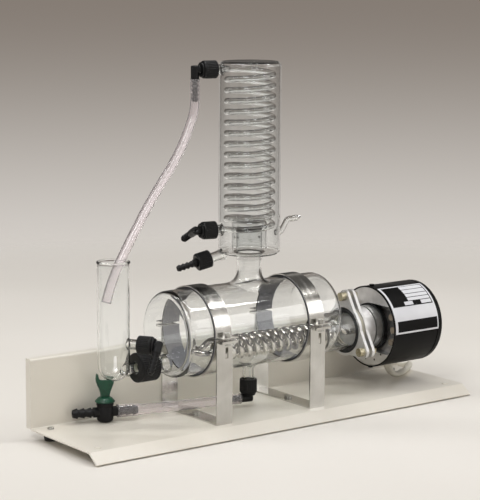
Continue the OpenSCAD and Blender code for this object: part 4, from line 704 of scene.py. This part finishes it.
# Screw caps and their seals.
# Ribbed caps of glass-filled black polypropylene on the glass arms, each with its own axis; the
# ribs stop short of both rims. Pale silicone seals sit under them.
def ribbed_cap(name, r, l, hole, bore, ribs, place, body):
    """A cap about local Z: knurled skirt, rounded shoulder, open end; inside it is a plain cup. The
    profile is turned round, and on the skirt a clipped cosine of the angle cuts the grooves."""
    out = [(bore, 0), (r - 0.6, 0), (r - 0.15, 0.35), (r, 0.9)] + [(r, h) for h in np.linspace(1.3, l - 2.6, 10)]
    out += [(r, l - 2.2), (r - 0.12, l - 1.5), (r - 0.45, l - 0.7), (r - 1.1, l - 0.15), (r - 1.8, l), (hole + 0.9, l),
            (hole + 0.3, l - 0.12), (hole, l - 0.5), (hole, l - 2), (bore, l - 2)]
    p = np.array(out)
    sides = ribs * 8
    a = np.linspace(0, 2 * np.pi, sides, endpoint=False)
    groove = 0.045 * r + 0.1
    depth = np.where((p[:, 0] > r - 0.01) & (p[:, 1] > 1.2) & (p[:, 1] < l - 2.5), groove, 0)
    wave = np.clip(0.5 - 0.9 * np.cos(a * ribs), 0, 1)
    rad = p[:, :1] - depth[:, None] * wave[None, :]
    v = np.stack([rad * np.cos(a), rad * np.sin(a), np.repeat(p[:, 1:], sides, 1)], 2).reshape(-1, 3) / 1000
    o = piece(name.replace("_", " "), moved(v, place), quads(len(p), sides, close_u=True), black, body, slot=name)
    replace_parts(o, name)


# moulded polypropylene: satin, with a fine grain that is drawn coarser than real so that it shows
black, t, b = material("black polypropylene", "#08080a", 0.34, Specular_IOR_Level=0.26)
tint(t, b, noise(t, 6), "#070708", "#0d0d0f")
vary(t, b, "Roughness", noise(t, 2.5), 0.3, 0.48)
bump(t, b, noise(t, 0.5, 2), 0.012)
silicone, t, b = material("pale silicone", "#c9c2b2", 0.55, Subsurface_Weight=0.1)
vary(t, b, "Roughness", noise(t, 2), 0.48, 0.62)
dress(black, "outlet_cap", "inlet_cap", "distillate_cap", "feed_cap", "overflow_cap", "drain_cap", "cable_tie")
dress(silicone, "fitting_seals", "feed_seal")
SMALL_CAP = dict(r=10.3, l=17, hole=5.2, bore=7.3, ribs=30)
FEED_CAP = dict(r=17, l=25, hole=6.8, bore=12.5, ribs=44)
upper = at(NECK_X, AXIS_Y, PORT_ZS[1], PORT) @ at(CAP_EDGE, 0, 0)
lower = at(NECK_X, AXIS_Y, PORT_ZS[0], PORT) @ at(CAP_EDGE, 0, 0)
over = overflow @ at(OVERFLOW_EDGE, 0, 0)
DRAIN_EDGE_Z, DRAIN_TURN, FEED_CAP_X = 46, ("Z", -11), -146.6
below = at(NECK_X, AXIS_Y, DRAIN_EDGE_Z, DRAIN_TURN, TO_X)
for name, place in [("outlet_cap", upper), ("inlet_cap", lower), ("distillate_cap", spout), ("overflow_cap", over),
                    ("drain_cap", below)]:
    ribbed_cap(name, **SMALL_CAP, place=place @ at(0, 0, 0, TO_X), body=name)
ribbed_cap("feed_cap", **FEED_CAP, place=at(FEED_CAP_X, AXIS_Y, FEED_Z, TO_LEFT), body="feed_cap")


# Hose fittings.
# Moulded elbows of the same black plastic: a stem out of the cap, a collar against it, a square
# corner with rounded edges, and a tail of five barbs. The distillate has a straight tail.
def join(*parts):
    """Several (points, faces) as one."""
    f, base = [], 0
    for v, faces in parts:
        f += [tuple(i + base for i in q) for q in faces]
        base += len(v)
    return np.vstack([v for v, _ in parts]), f


def barbed(path, plain, tip, r, core, ribs, collar):
    """Radii along a fitting: the collar's radius up to plain, then barbs. Each barb rises steeply from the
    core to its full radius after a third of its length and falls back evenly to the next."""
    s = np.r_[0, np.cumsum(np.linalg.norm(np.diff(path, axis=0), axis=1))] * 1000
    s += tip - s[-1]
    u = ((s - plain) / ((tip - plain) / ribs)) % 1
    edge = np.clip((u - 0.30) / 0.05, 0, 1)
    fall = np.clip((u - 0.35) / 0.62, 0, 1)
    barb = core + (r - core) * edge * (1 - fall)
    return np.where(s < plain - 0.4, collar, np.where(s < plain, collar - 0.3, barb)) / 1000


STEM_R, STEM_FROM, CORNER_AT = 4.85, 13.3, 17
TAIL_CORE, TAIL_BARB, TAIL_BORE, TAIL_FROM, TAIL_END, TAIL_BARBS = 3.05, 1.15, 1.9, 10.5, 36, 5
CORNER_R = 1.45


def elbow(name, stand, turn, place, body):
    """A fitting in the cap's frame: out along +X to a square moulded corner, then down its barbed tail.
    Stem, tail and collar are turned profiles; the tail's corner is a quarter circle."""
    corner = CORNER_AT + stand
    stem = lathe([(0.5, STEM_FROM), (STEM_R, STEM_FROM)]
                 + [(STEM_R, z) for z in np.arange(STEM_FROM + 1, corner, 1.5)] + [(0.5, corner)], ORIGIN, 40)
    z = np.arange(-STEM_R, TAIL_END + 0.01, 0.2)
    flat = STEM_R - CORNER_R
    r = np.where(z < -flat, flat + np.sqrt(np.clip(CORNER_R ** 2 - (z + flat) ** 2, 0, None)), STEM_R)
    u = np.clip((z - TAIL_FROM) / ((TAIL_END - TAIL_FROM) / TAIL_BARBS), 0, None) % 1
    barb = TAIL_CORE + TAIL_BARB * np.clip((u - 0.25) / 0.05, 0, 1) * (1 - np.clip((u - 0.32) / 0.6, 0, 1))
    r = np.where(z > TAIL_FROM, barb, np.where(z > TAIL_FROM - 0.4, STEM_R - 0.35, r))
    tail = lathe([(TAIL_BORE, -2.0), (0.3, -STEM_R)] + list(zip(r, z)) + [(TAIL_BORE, TAIL_END)], ORIGIN, 40)
    collar = lathe([(4.8, 0), (8.2, 0), (8.6, 0.4), (8.6, 1.6), (8.1, 2.1), (4.8, 2.3)], ORIGIN, 48)
    v, f = join(placed(stem, at(0, 0, 0, TO_X)), (moved(tail[0], at(0, 0, 0, DOWN)) + [corner, 0, 0], tail[1]),
                (moved(collar[0], at(0, 0, 0, TO_X)) + [CORNER_AT + 0.2, 0, 0], collar[1]))
    v = moved(v / 1000, place @ at(0, 0, 0, ("X", turn)))
    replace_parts(piece(name.replace("_", " "), v, f, black, body, slot=name), name)


dress(black, "outlet_elbow", "inlet_elbow", "distillate_connector", "overflow_elbow", "drain_elbow")
LONG_STAND, SHORT_STAND = 8.8, 6.2
elbow("outlet_elbow", LONG_STAND, 0, upper, "frame")
elbow("inlet_elbow", LONG_STAND, -67, lower, "inlet_elbow")
elbow("overflow_elbow", SHORT_STAND, -45, over, "overflow_elbow")
elbow("drain_elbow", SHORT_STAND, 0, below, "frame")
STRAIGHT_PLAIN, STRAIGHT_END, STRAIGHT_BARBS = 21, 41.6, 4
x = np.arange(STEM_FROM, STRAIGHT_END + 0.01, 0.2)
path = np.stack([x, 0 * x, 0 * x], 1) / 1000
radii = barbed(path, STRAIGHT_PLAIN, STRAIGHT_END, TAIL_CORE + TAIL_BARB, TAIL_CORE, STRAIGHT_BARBS, STEM_R)
straight = placed(tube(path, radii, 28, TAIL_BORE / 1000), spout)
tail = piece("distillate connector", *straight, black, "frame", slot="distillate_connector")
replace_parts(tail, "distillate_connector")

# Hoses.
# Clear vinyl tubing with real walls, slightly milky: one from the coil down into the level tube, one
# along the tray to the valve, whose end is stretched over the valve's tail.
COOL = [[-.0788, .0218, .4005], [-.0788, .0218, .3878], [-.0788, .0218, .375], [-.082, .021, .36], [-.0885, .02, .3455],
        [-.097, .0185, .33], [-.107, .017, .315], [-.1185, .0155, .3], [-.131, .0145, .285], [-.1435, .013, .27],
        [-.1555, .0115, .2545], [-.167, .01, .2385], [-.178, .009, .2225], [-.1885, .008, .2065],
        [-.1975, .0075, .1905], [-.2045, .0075, .1745], [-.2095, .0075, .159]]
DRAIN = [[-.1753, .0392, .0245], [-.1639, .0353, .0245], [-.1526, .0314, .0245], [-.1397, .0276, .0244],
         [-.1266, .0248, .0242], [-.1133, .0227, .024], [-.0999, .021, .0237], [-.0865, .0196, .0233],
         [-.073, .0182, .0231], [-.0596, .0165, .0229], [-.0463, .0143, .0228], [-.0338, .0118, .0228],
         [-.0213, .0094, .0228]]
COOL_R, COOL_BORE = 0.0056, 0.0044
STRETCHED_R, STRETCHED_BORE, STRETCH_L, STRETCH_EASE, DRAIN_THINNER, BORE_THINNER = 7.4, 6.3, 22, 10, 1.15, 1.7
pvc, t, b = material("clear vinyl tubing", "#fbf7f9", 0.1, Transmission_Weight=0.93, IOR=1.42)
vary(t, b, "Roughness", noise(t, 12), 0.08, 0.14)
see_through(t, b, "#ecebea")
dress(pvc, "cooling_hose", "drain_hose")
cool = piece("cooling hose", *tube(smooth_path(COOL, 0.0015), COOL_R, 48, COOL_BORE), pvc, "frame",
             slot="cooling_hose")
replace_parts(cool, "cooling_hose")
path = smooth_path(DRAIN, 0.002)
s = np.r_[0, np.cumsum(np.linalg.norm(np.diff(path, axis=0), axis=1))] * 1000
share = np.clip((s - STRETCH_L) / STRETCH_EASE, 0, 1)
ease = share ** 2 * (3 - 2 * share)
drain = piece("drain hose", *tube(path, (STRETCHED_R - DRAIN_THINNER * ease) / 1000, 32,
                                  (STRETCHED_BORE - BORE_THINNER * ease) / 1000), pvc, "frame", slot="drain_hose")
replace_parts(drain, "drain_hose")


# Stop valve.
# A moulded black body with a rounded foot and a rim, two barbed tails, and a dark green handle with
# its horn, which turns on a green plug.
def outline_slab(points, thick, place):
    """A closed outline in its own XZ plane, its corners cut twice at 22 per cent of each side, and both
    rims rounded by a quarter circle of insets along the outline's normals."""
    p = np.array(points, float)
    for _ in range(2):
        q = np.roll(p, -1, 0)
        p = np.stack([0.78 * p + 0.22 * q, 0.22 * p + 0.78 * q], 1).reshape(-1, 2)
    d = np.roll(p, -1, 0) - np.roll(p, 1, 0)
    n = np.stack([d[:, 1], -d[:, 0]], 1) / np.linalg.norm(d, axis=1)[:, None]
    inset = [(RIM_ROUND * (1 - math.sin(a)), -thick / 2 + RIM_ROUND * (1 - math.cos(a)))
             for a in np.linspace(0, math.pi / 2, 5)]
    rows = [(p - n * i, y) for i, y in inset] + [(p - n * i, -y) for i, y in inset[::-1]]
    k, m = len(rows), len(p)
    v = np.array([np.stack([r[:, 0], np.full(m, y), r[:, 1]], 1) for r, y in rows]).reshape(-1, 3) / 1000
    return moved(v, place), [q[::-1] for q in capped(k, m)]


RIM_ROUND, BLADE_THICK = 0.8, 6
FOOT_BEND, BODY_R, BODY_TAIL_Z = 4, 5.5, 11.5
HANDLE_Z, BLADE_Z = 23.3, 28.3
valve = at(-188.5, 43.8, TRAY_TOP, ("Z", -19))
VALVE_TAIL = dict(plain=14, tip=38, r=6, core=4.5, ribs=3, collar=5.9)
VALVE_BORE = 0.002
# moulded nylon: dark green with a soft gloss
green, t, b = material("dark green nylon", "#083c28", 0.36, Specular_IOR_Level=0.45)
tint(t, b, noise(t, 5), "#073524", "#0b4832")
vary(t, b, "Roughness", noise(t, 3), 0.28, 0.46)
bump(t, b, noise(t, 0.6, 2), 0.012)
dress(black, "valve_body")
dress(green, "valve_plug", "valve_handle")
foot = [(0, 0.3), (BODY_R, 0.3)] + [(BODY_R + FOOT_BEND * math.cos(a), 0.3 + FOOT_BEND * (1 + math.sin(a)))
                                    for a in np.linspace(-math.pi / 2, 0, 8)]
body = foot + [(9.5, 17.5), (9.1, 18), (9.1, 19), (10, 19.6), (10, 22.3), (9.5, 22.9), (5.4, 22.9), (5.4, 18), (0, 18)]
parts = [lathe(np.array(body) / 1000, valve, 64, closed=False)]
x = np.arange(7, VALVE_TAIL["tip"] + 0.01, 0.2)
path = np.stack([x, 0 * x, 0 * x], 1) / 1000
for side in (0, 180):
    parts.append(placed(tube(path, barbed(path, **VALVE_TAIL), 32, VALVE_BORE),
                        valve @ at(0, 0, BODY_TAIL_Z, ("Z", side))))
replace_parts(piece("valve body", *join(*parts), black, "frame", slot="valve_body"), "valve_body")
BLADE = [(-5, -1), (5, -1), (5.2, 5), (10, 16.5), (10, 20), (-4, 20), (-7.2, 22), (-8.4, 28), (-10, 28), (-11, 19),
         (-5, 6)]
hub = np.array([(0, 0), (11, 0), (11.5, 0.5), (11.3, 1.2), (8.6, 4.4), (7.4, 5.2), (5.5, 5.5), (0, 5.5)]) / 1000
handle = piece("valve handle", *join(lathe(hub, valve @ at(0, 0, HANDLE_Z), 64, closed=False),
                                     outline_slab(BLADE, BLADE_THICK, valve @ at(0, 0, BLADE_Z))), green, "valve",
               slot="valve_handle")
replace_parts(handle, "valve_handle")

# Heater flange.
# Turned and plated steel flanges with a passivated set of bolts, an aluminium clamp ring with its
# lathe lines, and gaskets of silicone and rubber between them.
steel, t, b = material("plated flange steel", "#d6d4d0", 0.5, 1.0)
tint(t, b, noise(t, 12, 4), "#cecdcc", "#e4e3e3")
vary(t, b, "Roughness", noise(t, 3, 4), 0.42, 0.58)
bump(t, b, noise(t, 1.2, 3), 0.02)
bolt, t, b = material("passivated bolt", "#b5ad94", 0.3, 1.0)
tint(t, b, noise(t, 4, 4), "#a59c80", "#c4bda8")
vary(t, b, "Roughness", noise(t, 2), 0.24, 0.42)
turned, t, b = material("turned aluminium", "#d2d2d0", 0.42, 1.0)
vary(t, b, "Roughness", noise(t, 1.5, 3, (6, 0.4, 0.4)), 0.34, 0.5)
dress(steel, "flange_plate", "heater_flange")
dress(bolt, "flange_bolts", "flange_nuts")
dress(turned, "clamp_ring")
dress(rubber, "flange_insert", "head_seal")
dress(silicone, "heater_gasket")


# Drum and its contents.
# A black phenolic cover, semi-gloss with the faint flow marks of its mould, over a plated chassis
# with ceramic posts and the thermal cut-out. The chassis has three punched holes, drawn as painted shade: black discs
# on its face.
def painted_hole_shade(name, y, z):
    """A punched hole as painted shade: a black disc on the chassis' front face that stands for the dark inside of the
    hole, points on a circle of its radius.
    """
    a = np.linspace(0, 2 * np.pi, HOLE_SIDES, endpoint=False)
    v = np.stack([np.full(HOLE_SIDES, CHASSIS_X), y + HOLE_R * np.cos(a), z + HOLE_R * np.sin(a)], 1) / 1000
    # the disc is painted shade in the black rubber material, not a real opening
    piece(name, v, [tuple(range(HOLE_SIDES))[::-1]], rubber, "frame", smooth=False, slot="terminal_chassis")


CHASSIS_X, HOLE_R, HOLE_SIDES = 174.75, 1.3, 40
HOLES = [(10.9, 45.8), (-5.4, 46.9), (-17.1, 55.3)]
phenolic, t, b = material("black phenolic", "#070707", 0.36, Specular_IOR_Level=0.13)
tint(t, b, noise(t, 26, 4, (1, 1, 0.3)), "#060606", "#0b0a0a")
vary(t, b, "Roughness", noise(t, 18, 4), 0.3, 0.44)
bump(t, b, noise(t, 3, 3), 0.02)
# pressed steatite: grey-brown and dull
ceramic, t, b = material("grey-brown steatite", "#857a6a", 0.5)
tint(t, b, noise(t, 3), "#786d5e", "#92877a")
dress(phenolic, "heater_cover", "cover_screws")
dress(steel, "terminal_chassis")
dress(black, "cutout")
dress(ceramic, "terminals")
for k, (y, z) in enumerate(HOLES):
    painted_hole_shade(f"chassis hole {k + 1}", y, z)


# Rating plate.
# A blank plate in the colours of such labels, stuck round the drum: pale printed film with a slight
# sheen, plain black panels and pale empty fields.
def panel(name, along_a, along_b, turn_a, turn_b, mat, lift):
    """A thin patch wrapped on the drum: shares of the plate's width along its axis, and degrees round
    it from the top, as sine and cosine of the drum's radius plus the lift."""
    u, w = np.meshgrid(np.linspace(along_a, along_b, 12), np.radians(np.linspace(turn_a, turn_b, 25)))
    r = PLATE_R + lift
    v = np.stack([PLATE_X + PLATE_W * u, AXIS_Y - r * np.sin(w), HEATER_Z + r * np.cos(w)], 2).reshape(-1, 3) / 1000
    piece(name, v, quads(25, 12, close_v=False), mat, "frame", slot="rating_plate")


PLATE_X, PLATE_W, PLATE_R = 177, 66, 51.0
FILM_LIFT, INK_LIFT, FIELD_LIFT = 0.04, 0.08, 0.12
FIELDS = [(0.45, 0.99, 20, 27), (0.45, 0.99, 28, 35), (0.45, 0.99, 36, 41.5), (0.45, 0.99, 42.5, 47.5),
          (0.33, 0.54, 48.5, 54), (0.74, 0.99, 48.5, 54)]
film, t, b = material("blank plate film", "#dedfe4", 0.35)
tint(t, b, noise(t, 40), "#d9dadf", "#e3e4e8")
vary(t, b, "Roughness", noise(t, 15), 0.28, 0.42)
ink, t, b = material("black printed field", "#080808", 0.4, Specular_IOR_Level=0.13)
vary(t, b, "Roughness", noise(t, 10), 0.34, 0.48)
dress(film, "rating_plate")
panel("plate film", -0.02, 1.045, 16.5, 93, film, FILM_LIFT)
panel("plate upper panel", 0.03, 1.01, 19, 55.5, ink, INK_LIFT)
panel("plate lower panel", 0.04, 1.02, 75.5, 90.5, ink, INK_LIFT)
for k, field in enumerate(FIELDS):
    panel(f"plate field {k + 1}", *field, film, FIELD_LIFT)

# Size.
# The box round every shown object but the backdrop is worked out.
low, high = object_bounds()
